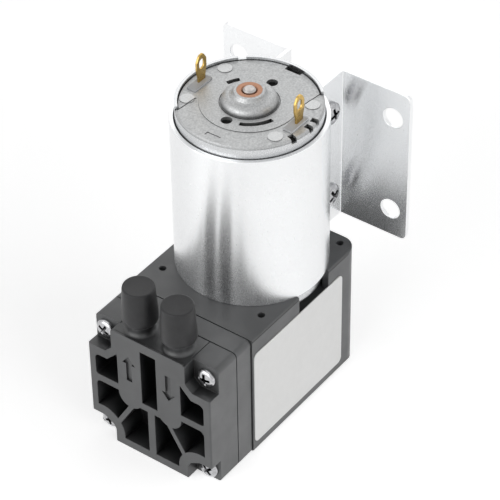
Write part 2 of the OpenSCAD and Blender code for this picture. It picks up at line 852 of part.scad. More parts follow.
module eccentric() {
    web_t = 2.4;
    color("#c2a35a") difference() {
        union() {
            translate([0, 0, hub_z]) cylinder(r = hub_r, h = hub_top - hub_z);
            // Counterweight opposite the pin
            translate([0, 0, hub_z]) difference() {
                cylinder(r = counterweight_r, h = web_t);
                translate([-counterweight_r, 0, -over])
                    cube([2 * counterweight_r, counterweight_r, web_t + 2 * over]);
            }
            at_pin(bearing_z + bearing_w)
                cylinder(r = pin_r + 0.9, h = hub_z - bearing_z - bearing_w + 0.5);
            at_pin(bearing_z - pin_tail) cylinder(r = pin_r, h = bearing_w + pin_tail + 1);
        }
        translate([0, 0, hub_z + 0.5]) cylinder(r = shaft_r + seat_fit, h = hub_top);
        at_pin(bearing_z - ring_groove_z) ring(pin_r + over, pin_r - ring_groove_depth, ring_groove_w);
        translate([0, 0, grub_z]) rotate([-90, 0, 0]) cylinder(d = grub_d + 2 * seat_fit, h = hub_r + over);
    }
}

module grub_screw() {
    depth = hub_r - shaft_r - seat_fit;
    color("#303133") translate([0, shaft_r + seat_fit, grub_z]) rotate([-90, 0, 0]) difference() {
        cylinder(d = grub_d, h = depth - gap);
        translate([0, 0, depth / 2]) cylinder(d = grub_d * 0.55, h = depth, $fn = 6);
    }
}

module race(r_out, r_in) {
    difference() {
        ring(r_out, r_in, bearing_w);
        translate([0, 0, bearing_w / 2])
            rotate_extrude() translate([ball_orbit_r, 0]) circle(ball_groove_r);
    }
}

module bearing_inner_race() {
    color("#cfd1d3") at_pin(bearing_z) race(bearing_bore_d / 2 + race_t, bearing_bore_d / 2);
}

module bearing_outer_race() {
    color("#cfd1d3") at_pin(bearing_z) race(bearing_d / 2, bearing_d / 2 - race_t);
}

module bearing_balls() {
    color("#e1e2e3") at_pin(head_z) for (i = [0 : ball_count - 1])
        rotate(i * 360 / ball_count) translate([ball_orbit_r, 0, 0]) sphere(ball_r, $fn = 32);
}

module retaining_ring() {
    inner = pin_r - ring_groove_depth + seat_fit;
    color("#55575a") at_pin(bearing_z - ring_groove_z + seat_fit) difference() {
        ring(pin_r + 1.4, inner, ring_groove_w - 2 * seat_fit);
        translate([0, -inner * 0.7, -over]) cube([bearing_d, inner * 1.4, ring_groove_w + 2 * over]);
    }
}

module connecting_rod() {
    rod_z = head_z - rod_t / 2;
    back_y = centre_back_y + rod_head_t;
    shank_end_y = throw - bearing_d / 2;
    pocket_front_y = back_y + boss_len;
    pocket_back_y = throw - ring_r - rod_rim;
    color("#e4e3dc") difference() {
        union() {
            at_pin(rod_z) cylinder(r = ring_r, h = rod_t);
            translate([0, 0, rod_z]) linear_extrude(rod_t) polygon([
                [-rod_head_w / 2, back_y - over], [rod_head_w / 2, back_y - over],
                [rod_neck_w / 2, shank_end_y], [-rod_neck_w / 2, shank_end_y]
            ]);
            on_head_axis(centre_back_y) cylinder(r = clamp_r, h = rod_head_t);
            on_head_axis(centre_back_y) cylinder(r = clamp_bolt_d, h = rod_head_t + boss_len);
        }
        at_pin(rod_z - over)
            cylinder(d = bearing_d + 2 * seat_fit, h = bearing_z + bearing_w - rod_z + over);
        at_pin(rod_z - over) cylinder(d = bearing_d - 1.2, h = rod_t + 2 * over);
        on_head_axis(centre_back_y - over)
            cylinder(d = clamp_bolt_d + 2 * seat_fit, h = rod_head_t + boss_len + over - 0.8);
        // Lightening pockets that leave an I-section
        for (z = [rod_z - over, head_z + rod_web_t / 2])
            translate([-rod_head_w / 2 + rod_rim, pocket_front_y, z])
                cube([
                    rod_head_w - 2 * rod_rim, pocket_back_y - pocket_front_y,
                    (rod_t - rod_web_t) / 2 + over
                ]);
    }
}

module clamp_disc() {
    color("#c6c8ca") difference() {
        on_head_axis(clamp_front_y) {
            cylinder(r1 = clamp_r - 0.4, r2 = clamp_r, h = 0.4);
            translate([0, 0, 0.4]) cylinder(r = clamp_r, h = clamp_t - 0.4);
        }
        on_head_axis(clamp_front_y - over)
            cylinder(d = clamp_bolt_d + 2 * seat_fit, h = clamp_t + 2 * over);
        on_head_axis(clamp_front_y) cylinder(
            d1 = clamp_bolt_head_d + 2 * seat_fit, d2 = clamp_bolt_d + 2 * seat_fit,
            h = (clamp_bolt_head_d - clamp_bolt_d) / 2
        );
    }
}

module clamp_bolt() {
    length = clamp_t + diaphragm_t + rod_head_t + boss_len - 1;
    color("#b7b9bb") on_head_axis(clamp_front_y) mirror([0, 0, 1])
        flat_screw(clamp_bolt_d, clamp_bolt_head_d, length);
}

module diaphragm() {
    t = diaphragm_t;
    rim_r = diaphragm_d / 2;
    hole_r = clamp_bolt_d / 2 + seat_fit;
    flex_in = clamp_r + 0.2;
    flex_out = throat_r - 0.2;
    color("#262627") on_head_axis(joint_y) rotate_extrude() polygon([
        [hole_r, rest_y], [flex_in, rest_y], [flex_out, 0], [rim_r, 0],
        [rim_r, t + bead_h], [rim_r - bead_w, t + bead_h], [rim_r - bead_w, t],
        [flex_out, t], [flex_in, rest_y + t], [hole_r, rest_y + t]
    ]);
}

module flap_outline(grow) {
    r = flap_r + grow;
    translate([-r, flap_z]) square([2 * r, flap_top + grow - flap_z]);
    translate([0, flap_z]) circle(r);
}

// Well rounded along the top edges, nearly sharp along the bottom
module head_outline() {
    translate([0, head_z]) rounded_rect(head_w, casing_h, cover_edge_r);
    translate([-head_w / 2, bottom_edge_r]) square([head_w, head_z]);
    translate([-head_w / 2 + bottom_edge_r, 0]) square([head_w - 2 * bottom_edge_r, head_z]);
    for (x = [-1, 1]) translate([x * (head_w / 2 - bottom_edge_r), bottom_edge_r]) circle(bottom_edge_r);
}

module valve_plate() {
    g = seam_groove;
    color("#3f4043") difference() {
        union() {
            along_y(plate_y, joint_y) translate([0, head_z])
                rounded_rect(head_w - 2 * g, casing_h - 2 * g, cover_edge_r - g);
            along_y(plate_y + g, joint_y - g) head_outline();
        }
        round_bar_y(0, head_z, throat_r, joint_y - chamber_depth, joint_y + over);
        translate([0, joint_y + over, 0]) at_head_screws()
            cylinder(d = head_screw_d + gap, h = plate_t + 2 * over);
        along_y(plate_y - over, joint_y) translate([port_x, 0]) flap_outline(gap);
        round_bar_y(-port_x, flap_z, valve_hole_r, plate_y - over, joint_y);
    }
}

module valve_gasket() {
    color("#1f1f20") difference() {
        along_y(plate_y - gasket_t, plate_y) translate([0, head_z]) rounded_rect(gasket_w, gasket_w, 4);
        for (x = [-1, 1]) along_y(plate_y - 2 * gasket_t, plate_y + gasket_t)
            translate([x * port_x, 0]) flap_outline(gap);
    }
}

module flap(x) {
    along_y(plate_y - gasket_t, plate_y) translate([x, 0]) flap_outline(0);
}

module inlet_flap() {
    color("#2a2a2b") flap(port_x);
}

module outlet_flap() {
    color("#2a2a2b") flap(-port_x);
}

// Upper corner recess at +X, grown sideways by wall and downwards by sill
module upper_recess(wall, sill, chamfer) {
    x0 = notch_x - wall;
    x1 = head_w / 2 + over;
    z0 = notch_top_z - sill;
    z1 = casing_h + over;
    polygon([[x0, z1], [x0, z0 + chamfer], [x0 + chamfer, z0], [x1, z0], [x1, z1]]);
}

// Lower corner recess at +X, with a slanting inner side
module lower_recess() {
    x1 = head_w / 2 + over;
    z0 = notch_bottom_z;
    polygon([
        [notch_x, -over], [notch_x, z0 - 3], [notch_x + 0.6, z0 - 1.7], [notch_x + 3.6, z0],
        [x1, z0], [x1, -over]
    ]);
}

// Fills a square corner with a round; the corner is at +X +Z
module corner_round(x, z, r) {
    translate([x, z]) difference() {
        translate([-r, -r]) square(r + over);
        translate([-r, -r]) circle(r);
    }
}

module each_corner() {
    for (side = [0, 1]) mirror([side, 0]) children();
}

module cored_pockets() {
    pocket_w = head_w - 2 * cover_wall;
    difference() {
        translate([0, head_z]) rounded_rect(pocket_w, casing_h - 2 * (cover_wall + 0.3), 0.6);
        each_corner() {
            upper_recess(notch_wall, notch_sill, sill_chamfer);
            translate([screw_pitch, lower_screw_z]) circle(lobe_r);
            // Boss with a rounded foot, its side rib and the rib to the lower screw
            translate([boss_x - boss_w / 2, flap_z]) square([boss_w, casing_h]);
            translate([boss_x, flap_z]) circle(boss_w / 2);
            translate([boss_x, side_rib_z - rib_t / 2]) square([head_w, rib_t]);
            translate(lower_rib_start)
                rotate(lower_rib_angle) translate([-boss_w / 4, -lower_rib_t / 2])
                    square([head_w / 3, lower_rib_t]);
            // Rounded outer corners
            corner_round(pocket_w / 2, notch_top_z - notch_sill, pocket_round);
            corner_round(pocket_w / 2, side_rib_z - rib_t / 2, pocket_round);
            mirror([0, 1]) corner_round(pocket_w / 2, -side_rib_z - rib_t / 2, pocket_round * 0.6);
        }
        translate([-port_x, web_z - rib_t / 2]) square([2 * port_x, rib_t]);
        translate([centre_rib_x - centre_rib_t / 2, 0]) square([centre_rib_t, web_z]);
    }
}

// dir is 1 for an arrow that points up and -1 for one that points down
module flow_arrow(dir) {
    tip = arrow_len / 2;
    neck = tip - arrow_head_len;
    scale([1, dir]) polygon([
        [0, tip], [arrow_head_w / 2, neck], [arrow_w / 2, neck], [arrow_w / 2, -tip],
        [-arrow_w / 2, -tip], [-arrow_w / 2, neck], [-arrow_head_w / 2, neck]
    ]);
}

module port_stub() {
    h = port_top - neck_top;
    core = barb_r - 0.45;
    neck_r = neck_d / 2;
    translate([0, 0, -over]) cylinder(d = neck_d, h = neck_h + over);
    rotate_extrude() polygon([
        [0, -over], [neck_r + neck_flare, -over], [neck_r + neck_flare, 0],
        for (a = [15 : 15 : 90]) [
            neck_r + neck_flare * (1 - sin(a)), neck_flare * 1.4 * (1 - cos(a))
        ],
        [0, neck_flare * 1.4]
    ]);
    translate([0, 0, neck_h - over]) cylinder(r = core, h = h + over);
    for (i = [0 : 1]) translate([0, 0, neck_h + h - (i + 1) * barb_step])
        cylinder(r1 = barb_r, r2 = core, h = barb_step);
}

module head_cover() {
    color("#3c3d40") difference() {
        union() {
            intersection() {
                along_y(face_y, plate_y) head_outline();
                linear_extrude(casing_h) {
                    translate([-head_w / 2, face_y + front_corner_r]) square([head_w, cover_t]);
                    translate([0, face_y + cover_t / 2]) rounded_rect(head_w, cover_t, front_corner_r);
                }
            }
            for (x = [-1, 1]) translate([x * port_x, port_y, casing_h]) port_stub();
            translate([-notch_x + lip_w, face_y, casing_h - over])
                cube([2 * (notch_x - lip_w), lip_w, lip_h + over]);
        }
        along_y(face_y - over, face_y + corner_depth) each_corner() {
            upper_recess(0, 0, notch_chamfer);
            lower_recess();
        }
        along_y(face_y - over, plate_y - cover_floor_t) cored_pockets();
        translate([0, plate_y + over, 0]) at_head_screws()
            cylinder(d = head_screw_d + gap, h = cover_t + 2 * over);
        // Gasket seat, the outlet flap's room and the air ways
        along_y(plate_y - gasket_t, plate_y + over)
            translate([0, head_z]) rounded_rect(gasket_w + 2 * seat_fit, gasket_w + 2 * seat_fit, 4);
        along_y(plate_y - gasket_t - flap_lift, plate_y) translate([-port_x, 0]) flap_outline(gap);
        for (x = [-1, 1]) {
            round_bar_y(x * port_x, flap_z, air_way_d / 2, port_y, plate_y);
            translate([x * port_x, port_y, flap_z]) cylinder(d = air_way_d, h = casing_h + port_top);
        }
        // Engraved flow arrows: out on the left, in on the right
        along_y(face_y - over, face_y + arrow_depth) {
            translate([-boss_x, arrow_z]) flow_arrow(1);
            translate([boss_x, arrow_z]) flow_arrow(-1);
        }
        // Fine line behind the front lip
        translate([-notch_x + lip_w, face_y + lip_w, casing_h - lip_h])
            cube([2 * (notch_x - lip_w), lip_h, over]);
        // Fine edge lines of the port plinth
        for (x = [-1, 1])
            translate([x * plinth_x - lip_h / 2, face_y + corner_depth, casing_h - lip_h / 2])
                cube([lip_h / 2, cover_t, over]);
    }
}

module head_screws() {
    color("#d5d6d7") translate([0, face_y + corner_depth, 0]) at_head_screws()
        pan_screw(head_screw_d - 2 * seat_fit, head_screw_head_d, head_screw_head_h,
            head_screw_end_y - face_y - corner_depth);
}

module dust_cap(x) {
    top_r = dust_cap_top_d / 2;
    foot_r = dust_cap_foot_d / 2;
    translate([x, port_y, neck_top]) difference() {
        union() {
            cylinder(r = foot_r - foot_round, h = foot_round);
            translate([0, 0, foot_round])
                rotate_extrude() translate([foot_r - foot_round, 0]) circle(foot_round);
            translate([0, 0, foot_round]) cylinder(r1 = foot_r, r2 = top_r, h = dust_cap_h - foot_round);
        }
        translate([0, 0, -over]) cylinder(r = barb_r + gap, h = port_top - neck_top + gap + over);
    }
}

module inlet_dust_cap() {
    color("#29292a") dust_cap(port_x);
}

module outlet_dust_cap() {
    color("#29292a") dust_cap(-port_x);
}

module holder_plan() {
    leg_y = sqrt(holder_r * holder_r - leg_x * leg_x);
    difference() {
        union() {
            circle(band_r);
            translate([-leg_x, leg_y]) square([leg_span, flange_y - leg_y]);
        }
        circle(holder_r);
        translate([-leg_x + holder_t, 0]) square([leg_span - 2 * holder_t, flange_y + over]);
    }
    // Rounded outside of each bend
    for (side = [0, 1]) mirror([side, 0]) translate([leg_x, flange_y]) intersection() {
        circle(holder_t);
        translate([-holder_t, -holder_t / 4]) square(holder_t * 1.25);
    }
}

module holder_flange() {
    reach = flange_span / 2 - leg_x;
    along_y(flange_y, flange_y + holder_t) translate([leg_x, casing_h]) {
        square([reach - flange_corner_r, holder_h]);
        translate([0, flange_corner_r]) square([reach, holder_h - 2 * flange_corner_r]);
        for (z = [flange_corner_r, holder_h - flange_corner_r])
            translate([reach - flange_corner_r, z]) circle(flange_corner_r);
    }
}

module motor_holder() {
    color("#dcdddf") difference() {
        union() {
            translate([0, 0, casing_h]) linear_extrude(holder_h) holder_plan();
            holder_flange();
            mirror([1, 0, 0]) holder_flange();
        }
        for (x = [-1, 1], z = [-1, 1])
            round_bar_y(x * hole_pitch_x / 2, holder_mid_z + z * hole_pitch_z / 2, mount_hole_d / 2,
                flange_y - over, flange_y + holder_t + over);
        at_holder_screws(-leg_x - over) cylinder(d = clamp_screw_d + gap, h = leg_span + 2 * over);
    }
}

// Local +Z points along +X at each clamp screw
module at_holder_screws(x) {
    for (z = [-1, 1]) translate([x, clamp_y, holder_mid_z + z * clamp_pitch / 2])
        rotate([0, 90, 0]) children();
}

module holder_screws() {
    color("#d5d6d7") at_holder_screws(leg_x)
        pan_screw(clamp_screw_d, clamp_head_d, clamp_head_h, leg_span + nut_t + 1);
}

module holder_nuts() {
    color("#c9cbcc") at_holder_screws(-leg_x - nut_t) difference() {
        cylinder(d = nut_af / cos(30), h = nut_t, $fn = 6);
        translate([0, 0, -over]) cylinder(d = clamp_screw_d + 2 * seat_fit, h = nut_t + 2 * over);
    }
}

module side_label() {
    color("#eeeeec") intersection() {
        linear_extrude(casing_h) difference() {
            translate([label_t, 0]) casing_outline();
            casing_outline();
        }
        along_x(0, casing_w) translate([label_y + label_len / 2, label_z + label_h / 2])
            rounded_rect(label_len, label_h, label_r);
    }
}

casing();
base_cover();
base_screws();
motor_screws();
motor_can();
front_bush();
field_magnets();
brush_plate();
end_cap();
rear_bush();
terminals();
terminal_insulators();
brush_arms();
carbon_brushes();
rotor_shaft();
armature_core();
armature_windings();
commutator();
eccentric();
grub_screw();
bearing_inner_race();
retaining_ring();
bearing_balls();
bearing_outer_race();
connecting_rod();
clamp_disc();
clamp_bolt();
diaphragm();
valve_plate();
valve_gasket();
inlet_flap();
outlet_flap();
head_cover();
head_screws();
inlet_dust_cap();
outlet_dust_cap();
motor_holder();
holder_screws();
holder_nuts();
side_label();
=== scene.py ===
import logging
import math
from collections.abc import Callable, Iterator, Sequence
from contextlib import contextmanager
from dataclasses import dataclass
from enum import Enum

import bmesh
import bpy
from mathutils import Matrix, Vector


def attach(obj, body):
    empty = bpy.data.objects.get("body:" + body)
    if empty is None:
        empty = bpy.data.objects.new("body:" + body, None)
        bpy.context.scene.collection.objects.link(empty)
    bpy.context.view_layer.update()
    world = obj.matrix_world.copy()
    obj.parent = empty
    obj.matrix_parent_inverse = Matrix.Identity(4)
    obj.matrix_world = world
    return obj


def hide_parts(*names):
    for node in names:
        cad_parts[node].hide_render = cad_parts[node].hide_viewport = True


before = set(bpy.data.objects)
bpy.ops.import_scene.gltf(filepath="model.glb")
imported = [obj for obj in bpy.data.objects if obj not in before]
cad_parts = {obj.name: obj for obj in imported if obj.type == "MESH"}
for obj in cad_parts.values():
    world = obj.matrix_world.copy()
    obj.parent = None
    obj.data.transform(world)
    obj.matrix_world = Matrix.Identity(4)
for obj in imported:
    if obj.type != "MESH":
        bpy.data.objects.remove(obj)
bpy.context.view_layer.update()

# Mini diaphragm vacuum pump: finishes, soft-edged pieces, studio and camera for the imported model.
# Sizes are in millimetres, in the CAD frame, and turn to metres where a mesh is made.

MM = 0.001
LOG = logging.getLogger("vacuum_pump")

# Slack in mm where points are picked by their place.
HAIR = 0.01
# The range in which most values of a noise texture lie.
NOISE_LOW, NOISE_HIGH = 0.3, 0.7
# How many rays look for a rounded edge, and for the walls of a recess.
EDGE_SAMPLES = 4
SHELTER_SAMPLES = 8
# Edges sharper than this many degrees are rounded on new pieces.
SHARP_ANGLE = 50
# The Mix node's sockets share their names, so they go by number.
MIX_COLOURS, MIX_COLOUR_RESULT = (6, 7), 2
MIX_VALUES, MIX_VALUE_RESULT = (2, 3), 0
WHITE = (1.0, 1.0, 1.0, 1.0)

Colour = tuple[float, float, float, float]
Item = bmesh.types.BMVert | bmesh.types.BMEdge | bmesh.types.BMFace
Socket = bpy.types.NodeSocket
Tree = bpy.types.NodeTree


class Element(Enum):
    """What edit mode selects."""

    VERT = "VERT"
    EDGE = "EDGE"
    FACE = "FACE"


class Body(Enum):
    """The rigid bodies that new pieces ride on."""

    PUMP = "pump"
    INLET_CAP = "inlet_dust_cap"
    OUTLET_CAP = "outlet_dust_cap"


def linear(hex_colour: str) -> Colour:
    """Turns an sRGB hex colour to linear light, by the standard's straight foot and power curve.

    Args:
        hex_colour: colour as "#rrggbb".

    Returns:
        Red, green, blue and alpha.
    """
    parts = [int(hex_colour[i:i + 2], 16) / 255 for i in (1, 3, 5)]
    red, green, blue = [p / 12.92 if p <= 0.04045 else ((p + 0.055) / 1.055) ** 2.4 for p in parts]
    return red, green, blue, 1.0


def add_node(tree: Tree, kind: str, inputs: dict | None = None, **settings: object) -> bpy.types.Node:
    """Adds a shader node with its settings, values and links.

    Args:
        tree: the material's or world's node tree.
        kind: node type without "ShaderNode".
        inputs: input name or number to a value, or to the output socket that drives it.
        settings: properties of the node itself.

    Returns:
        The new node.
    """
    node = tree.nodes.new("ShaderNode" + kind)
    for name, value in settings.items():
        setattr(node, name, value)
    for name, value in (inputs or {}).items():
        if isinstance(value, Socket):
            tree.links.new(value, node.inputs[name])
        else:
            node.inputs[name].default_value = value
    return node


def empty_tree(owner: bpy.types.Material | bpy.types.World) -> Tree:
    """Turns on the nodes of a material or world and clears them.

    Args:
        owner: the new material or world.

    Returns:
        Its node tree, with nothing in it.
    """
    owner.use_nodes = True
    owner.node_tree.nodes.clear()
    return owner.node_tree


def placed(where: Sequence[float], *turns: tuple[float, str]) -> Matrix:
    """Gives the matrix of a place.

    Args:
        where: the point in mm.
        turns: angle in radians and axis of each turn, the outermost first.

    Returns:
        The matrix, in metres.
    """
    place = Matrix.Translation(Vector(where) * MM)
    for angle, axis in turns:
        place = place @ Matrix.Rotation(angle, 4, axis)
    return place


@dataclass
class Surface:
    """A material in the making: its nodes, its shader and the sockets that a pattern starts from."""

    tree: Tree
    shader: bpy.types.Node
    place: Socket
    rounded: Socket

    def drive(self, name: str, value: Socket) -> None:
        """Links a value to one of the shader's inputs."""
        self.tree.links.new(value, self.shader.inputs[name])

    def unevenness(self, size: float, detail: float,
                   stretch: tuple[float, float, float] = (1, 1, 1)) -> Socket:
        """Adds soft random patches.

        Args:
            size: how wide they are, in mm.
            detail: how many finer layers they have.
            stretch: for each axis, below 1 where they are longer along it.

        Returns:
            Their grey value.
        """
        turned = add_node(self.tree, "Mapping", {"Vector": self.place, "Scale": stretch}).outputs["Vector"]
        return add_node(self.tree, "TexNoise", {
            "Vector": turned, "Scale": 1 / (size * MM), "Detail": detail,
        }).outputs["Fac"]

    def between(self, value: Socket, low: float, high: float) -> Socket:
        """Stretches unevenness until most of it lies between two levels.

        Args:
            value: the unevenness.
            low: level of its darkest patches.
            high: level of its palest patches.

        Returns:
            The stretched value.
        """
        return add_node(self.tree, "MapRange", {
            "Value": value, "From Min": NOISE_LOW, "From Max": NOISE_HIGH, "To Min": low, "To Max": high,
        }).outputs["Result"]

    def tint(self, value: Socket, other: str) -> None:
        """Varies the colour that the surface has so far.

        Args:
            value: 0 where the colour stays, 1 where it is the other one.
            other: the other colour.
        """
        own = self.shader.inputs["Base Color"]
        first, second = MIX_COLOURS
        mixed = add_node(self.tree, "Mix", {
            "Factor": value,
            first: own.links[0].from_socket if own.is_linked else tuple(own.default_value),
            second: linear(other),
        }, data_type="RGBA")
        self.drive("Base Color", mixed.outputs[MIX_COLOUR_RESULT])

    def gloss(self, value: Socket, roughness: float, change: tuple[float, float]) -> None:
        """Varies the roughness.

        Args:
            value: the unevenness that it follows.
            roughness: the finish's own roughness.
            change: how far it goes below and above that.
        """
        self.drive("Roughness", self.between(value, roughness - change[0], roughness + change[1]))

    def paint_shade(self, width: float, shelter: tuple[float, float], painted_shade: str) -> None:
        """Paints shade into recesses, darkening the colour where the walls around a place keep light off it.

        Args:
            width: how far in mm a wall shelters what lies beside it.
            shelter: how open a place is where the painted shade is darkest, and where it stops.
            painted_shade: colour of the painted shade where it is darkest.
        """
        # Painted shade: the occlusion by nearby walls darkens the base colour.
        bare = add_node(self.tree, "AmbientOcclusion", {"Distance": width * MM},
                        samples=SHELTER_SAMPLES, only_local=True).outputs["AO"]
        deep = add_node(self.tree, "MapRange", {
            "Value": bare, "From Min": shelter[0], "From Max": shelter[1], "To Min": 1.0, "To Max": 0.0,
        }).outputs["Result"]
        self.tint(deep, painted_shade)

    def relief(self, value: Socket, height: float) -> None:
        """Adds a relief of `height` mm on top of the rounded edges."""
        bump = add_node(self.tree, "Bump", {"Height": value, "Distance": height * MM, "Normal": self.rounded})
        self.drive("Normal", bump.outputs["Normal"])


@dataclass(frozen=True)
class Finish:
    """A real surface: what it is made of, how it was made and how worn its edges are.

    In every finish a size or depth is in mm, a share is the most of another colour that shows, and a change
    is how far the roughness goes below and above its own value. Grain, scratches and pores are drawn coarser
    than real ones, so that they show.
    """

    name: str
    colour: str
    roughness: float
    metallic: float = 0.0
    edge: float = 0.12
    shine: float = 0.5

    def material(self) -> bpy.types.Material:
        """Builds the material: a shader with edges rounded by `edge` mm, then the finish's own pattern.

        Returns:
            The material, which is built only once.
        """
        made = bpy.data.materials.get(self.name)
        if made:
            return made
        made = bpy.data.materials.new(self.name)
        tree = empty_tree(made)
        shader = add_node(tree, "BsdfPrincipled", {
            "Base Color": linear(self.colour), "Roughness": self.roughness, "Metallic": self.metallic,
            "Specular IOR Level": self.shine,
        })
        place = add_node(tree, "TexCoord").outputs["Object"]
        rounded = add_node(tree, "Bevel", {"Radius": self.edge * MM}, samples=EDGE_SAMPLES).outputs["Normal"]
        surface = Surface(tree, shader, place, rounded)
        surface.drive("Normal", rounded)
        self.pattern(surface)
        add_node(tree, "OutputMaterial", {"Surface": shader.outputs["BSDF"]})
        return made

    def pattern(self, surface: Surface) -> None:
        """Adds what the surface shows close up; each finish has its own."""


@dataclass(frozen=True)
class MouldedPlastic(Finish):
    """Plastic, such as glass-filled nylon, injection moulded in a fine spark-eroded mould.

    The mould leaves a close grain, and the filler a faint cloudiness and slightly uneven gloss. Pockets up to
    `pocket` mm wide get painted shade, which makes them darker than the outer faces.
    """

    grain: float = 0.35
    grain_depth: float = 0.012
    cloud: str = "#434445"
    cloud_size: float = 9.0
    cloud_share: float = 0.8
    gloss_size: float = 4.0
    gloss_change: tuple[float, float] = (0.05, 0.07)
    pocket: float = 0.0
    pocket_shelter: tuple[float, float] = (0.42, 0.93)
    pocket_painted_shade: str = "#09090a"

    def pattern(self, surface: Surface) -> None:
        """Adds cloudiness, uneven gloss, the mould's grain and painted shade in the pockets."""
        cloud = surface.unevenness(self.cloud_size, detail=3)
        grain = surface.unevenness(self.grain, detail=2)
        surface.tint(surface.between(cloud, 0.0, self.cloud_share), self.cloud)
        surface.gloss(surface.unevenness(self.gloss_size, detail=3), self.roughness, self.gloss_change)
        surface.relief(grain, self.grain_depth)
        if self.pocket:
            # Painted shade: the pockets darken where their walls keep light out.
            surface.paint_shade(self.pocket, self.pocket_shelter, self.pocket_painted_shade)


@dataclass(frozen=True)
class Rubber(Finish):
    """Soft black rubber, compression moulded and dusty with talc, so matt with a pale bloom."""

    bloom: str = "#303032"
    bloom_size: float = 3.0
    bloom_share: float = 0.5
    skin_size: float = 0.3
    skin_depth: float = 0.015
    sheen: float = 0.08
    sheen_roughness: float = 0.5

    def pattern(self, surface: Surface) -> None:
        """Adds patches of bloom, the talc's sheen and a soft pebbled skin."""
        patches = surface.unevenness(self.bloom_size, detail=4)
        surface.tint(surface.between(patches, 0.0, self.bloom_share), self.bloom)
        surface.shader.inputs["Sheen Weight"].default_value = self.sheen
        surface.shader.inputs["Sheen Roughness"].default_value = self.sheen_roughness
        surface.relief(surface.unevenness(self.skin_size, detail=2), self.skin_depth)


@dataclass(frozen=True)
class RolledSheet(Finish):
    """Nickel-plated steel strip, worked between rolls, so reflections smear across the rolling lines."""

    grain: float = 0.25
    grain_stretch: float = 0.4
    gloss_change: tuple[float, float] = (0.004, 0.005)
    shade: str = "#e8e9ea"
    haze_size: float = 14.0
    haze_share: float = 0.6
    smear: float = 0.85
    smear_turn: float = 0.25

    def pattern(self, surface: Surface) -> None:
        """Adds a faint haze, an uneven gloss as fine as the grain and reflections smeared up and down."""
        haze = surface.unevenness(self.haze_size, detail=3)
        surface.tint(surface.between(haze, 0.0, self.haze_share), self.shade)
        grain = surface.unevenness(self.grain, detail=2, stretch=(1, 1, self.grain_stretch))
        surface.gloss(grain, self.roughness, self.gloss_change)
        surface.shader.inputs["Anisotropic"].default_value = self.smear
        surface.shader.inputs["Anisotropic Rotation"].default_value = self.smear_turn
        tangent = add_node(surface.tree, "Tangent", direction_type="RADIAL", axis="Z").outputs["Tangent"]
        surface.drive("Tangent", tangent)


@dataclass(frozen=True)
class ZincSheet(Finish):
    """Zinc-plated deep-drawn steel: dull, with a fine crystalline grain and darker drawing marks."""

    grain: float = 0.3
    grain_share: float = 0.8
    grain_depth: float = 0.005
    gloss_change: tuple[float, float] = (0.06, 0.08)
    shade: str = "#9a9b9c"
    mark_size: float = 5.0
    mark_level: float = 0.75

    def pattern(self, surface: Surface) -> None:
        """Adds crystals `grain` mm across with their relief, a little stronger in the drawing marks."""
        crystals = surface.unevenness(self.grain, detail=3)
        marks = surface.between(surface.unevenness(self.mark_size, detail=3), self.mark_level, 1.0)
        shaded = surface.between(crystals, 0.0, self.grain_share)
        level = add_node(surface.tree, "Math", {0: shaded, 1: marks}, operation="MULTIPLY").outputs[0]
        surface.tint(level, self.shade)
        surface.gloss(crystals, self.roughness, self.gloss_change)
        surface.relief(crystals, self.grain_depth)


@dataclass(frozen=True)
class PressedPowder(ZincSheet):
    """Ferrite or carbon powder, pressed and fired: dark and dull, with a grain like the zinc's crystals."""


@dataclass(frozen=True)
class StampedCap(ZincSheet):
    """The motor's zinc-plated end cap: its four coined spots are pressed smooth, and their shine is painted
    as a paler colour.
    """

    slot: float = 2.0
    slot_shelter: tuple[float, float] = (0.42, 0.68)
    slot_painted_shade: str = "#0e0e0e"
    spot_reach: float = 14.85
    spot_angle: float = 30.4
    spot_r: float = 1.85
    spot_blur: tuple[float, float] = (0.15, 0.1)
    spot_share: float = 0.45
    floor_z: float = 83.85
    bright: str = "#dcdddd"

    def pattern(self, surface: Surface) -> None:
        """Adds the sheet's grain, painted shade in its slots and a painted sheen, a paler disc, at each of
        the four spots.
        """
        super().pattern(surface)
        # Painted shade: the slots darken where their walls keep light out.
        surface.paint_shade(self.slot, self.slot_shelter, self.slot_painted_shade)
        # Painted sheen: the shine of each coined spot is a paler disc in the base colour.
        turn = math.radians(self.spot_angle)
        spot = (
            self.spot_reach * math.cos(turn) * MM, self.spot_reach * math.sin(turn) * MM, self.floor_z * MM,
        )
        # The four spots mirror each other, so the distance is measured where x and y are made positive.
        tree = surface.tree
        folded = add_node(tree, "VectorMath", {0: surface.place}, operation="ABSOLUTE").outputs["Vector"]
        away = add_node(tree, "VectorMath", {0: folded, 1: spot}, operation="DISTANCE").outputs["Value"]
        disc = add_node(tree, "MapRange", {
            "Value": away, "From Min": (self.spot_r - self.spot_blur[0]) * MM,
            "From Max": (self.spot_r + self.spot_blur[1]) * MM, "To Min": self.spot_share, "To Max": 0.0,
        }).outputs["Result"]
        surface.tint(disc, self.bright)


@dataclass(frozen=True)
class PlatedMetal(Finish):
    """Small turned, headed or stamped metal piece with a thin bright plating, slightly uneven."""

    shade: str = "#8c8c8e"
    stain_size: float = 0.8
    stain_share: float = 0.6
    gloss_change: tuple[float, float] = (0.04, 0.1)
    scratch: float = 0.15
    scratch_stretch: float = 0.1
    scratch_depth: float = 0.002
    recess_shade: float = 0.0
    recess_shade_shelter: tuple[float, float] = (0.35, 0.8)
    recess_painted_shade: str = "#141414"

    def pattern(self, surface: Surface) -> None:
        """Adds stains, fine scratches and painted shade in recesses up to `recess_shade` mm across."""
        stains = surface.unevenness(self.stain_size, detail=4)
        surface.tint(surface.between(stains, 0.0, self.stain_share), self.shade)
        surface.gloss(stains, self.roughness, self.gloss_change)
        scratches = surface.unevenness(self.scratch, detail=2, stretch=(1, self.scratch_stretch, 1))
        surface.relief(scratches, self.scratch_depth)
        if self.recess_shade:
            # Painted shade: the recesses darken where their walls keep light out.
            surface.paint_shade(self.recess_shade, self.recess_shade_shelter, self.recess_painted_shade)


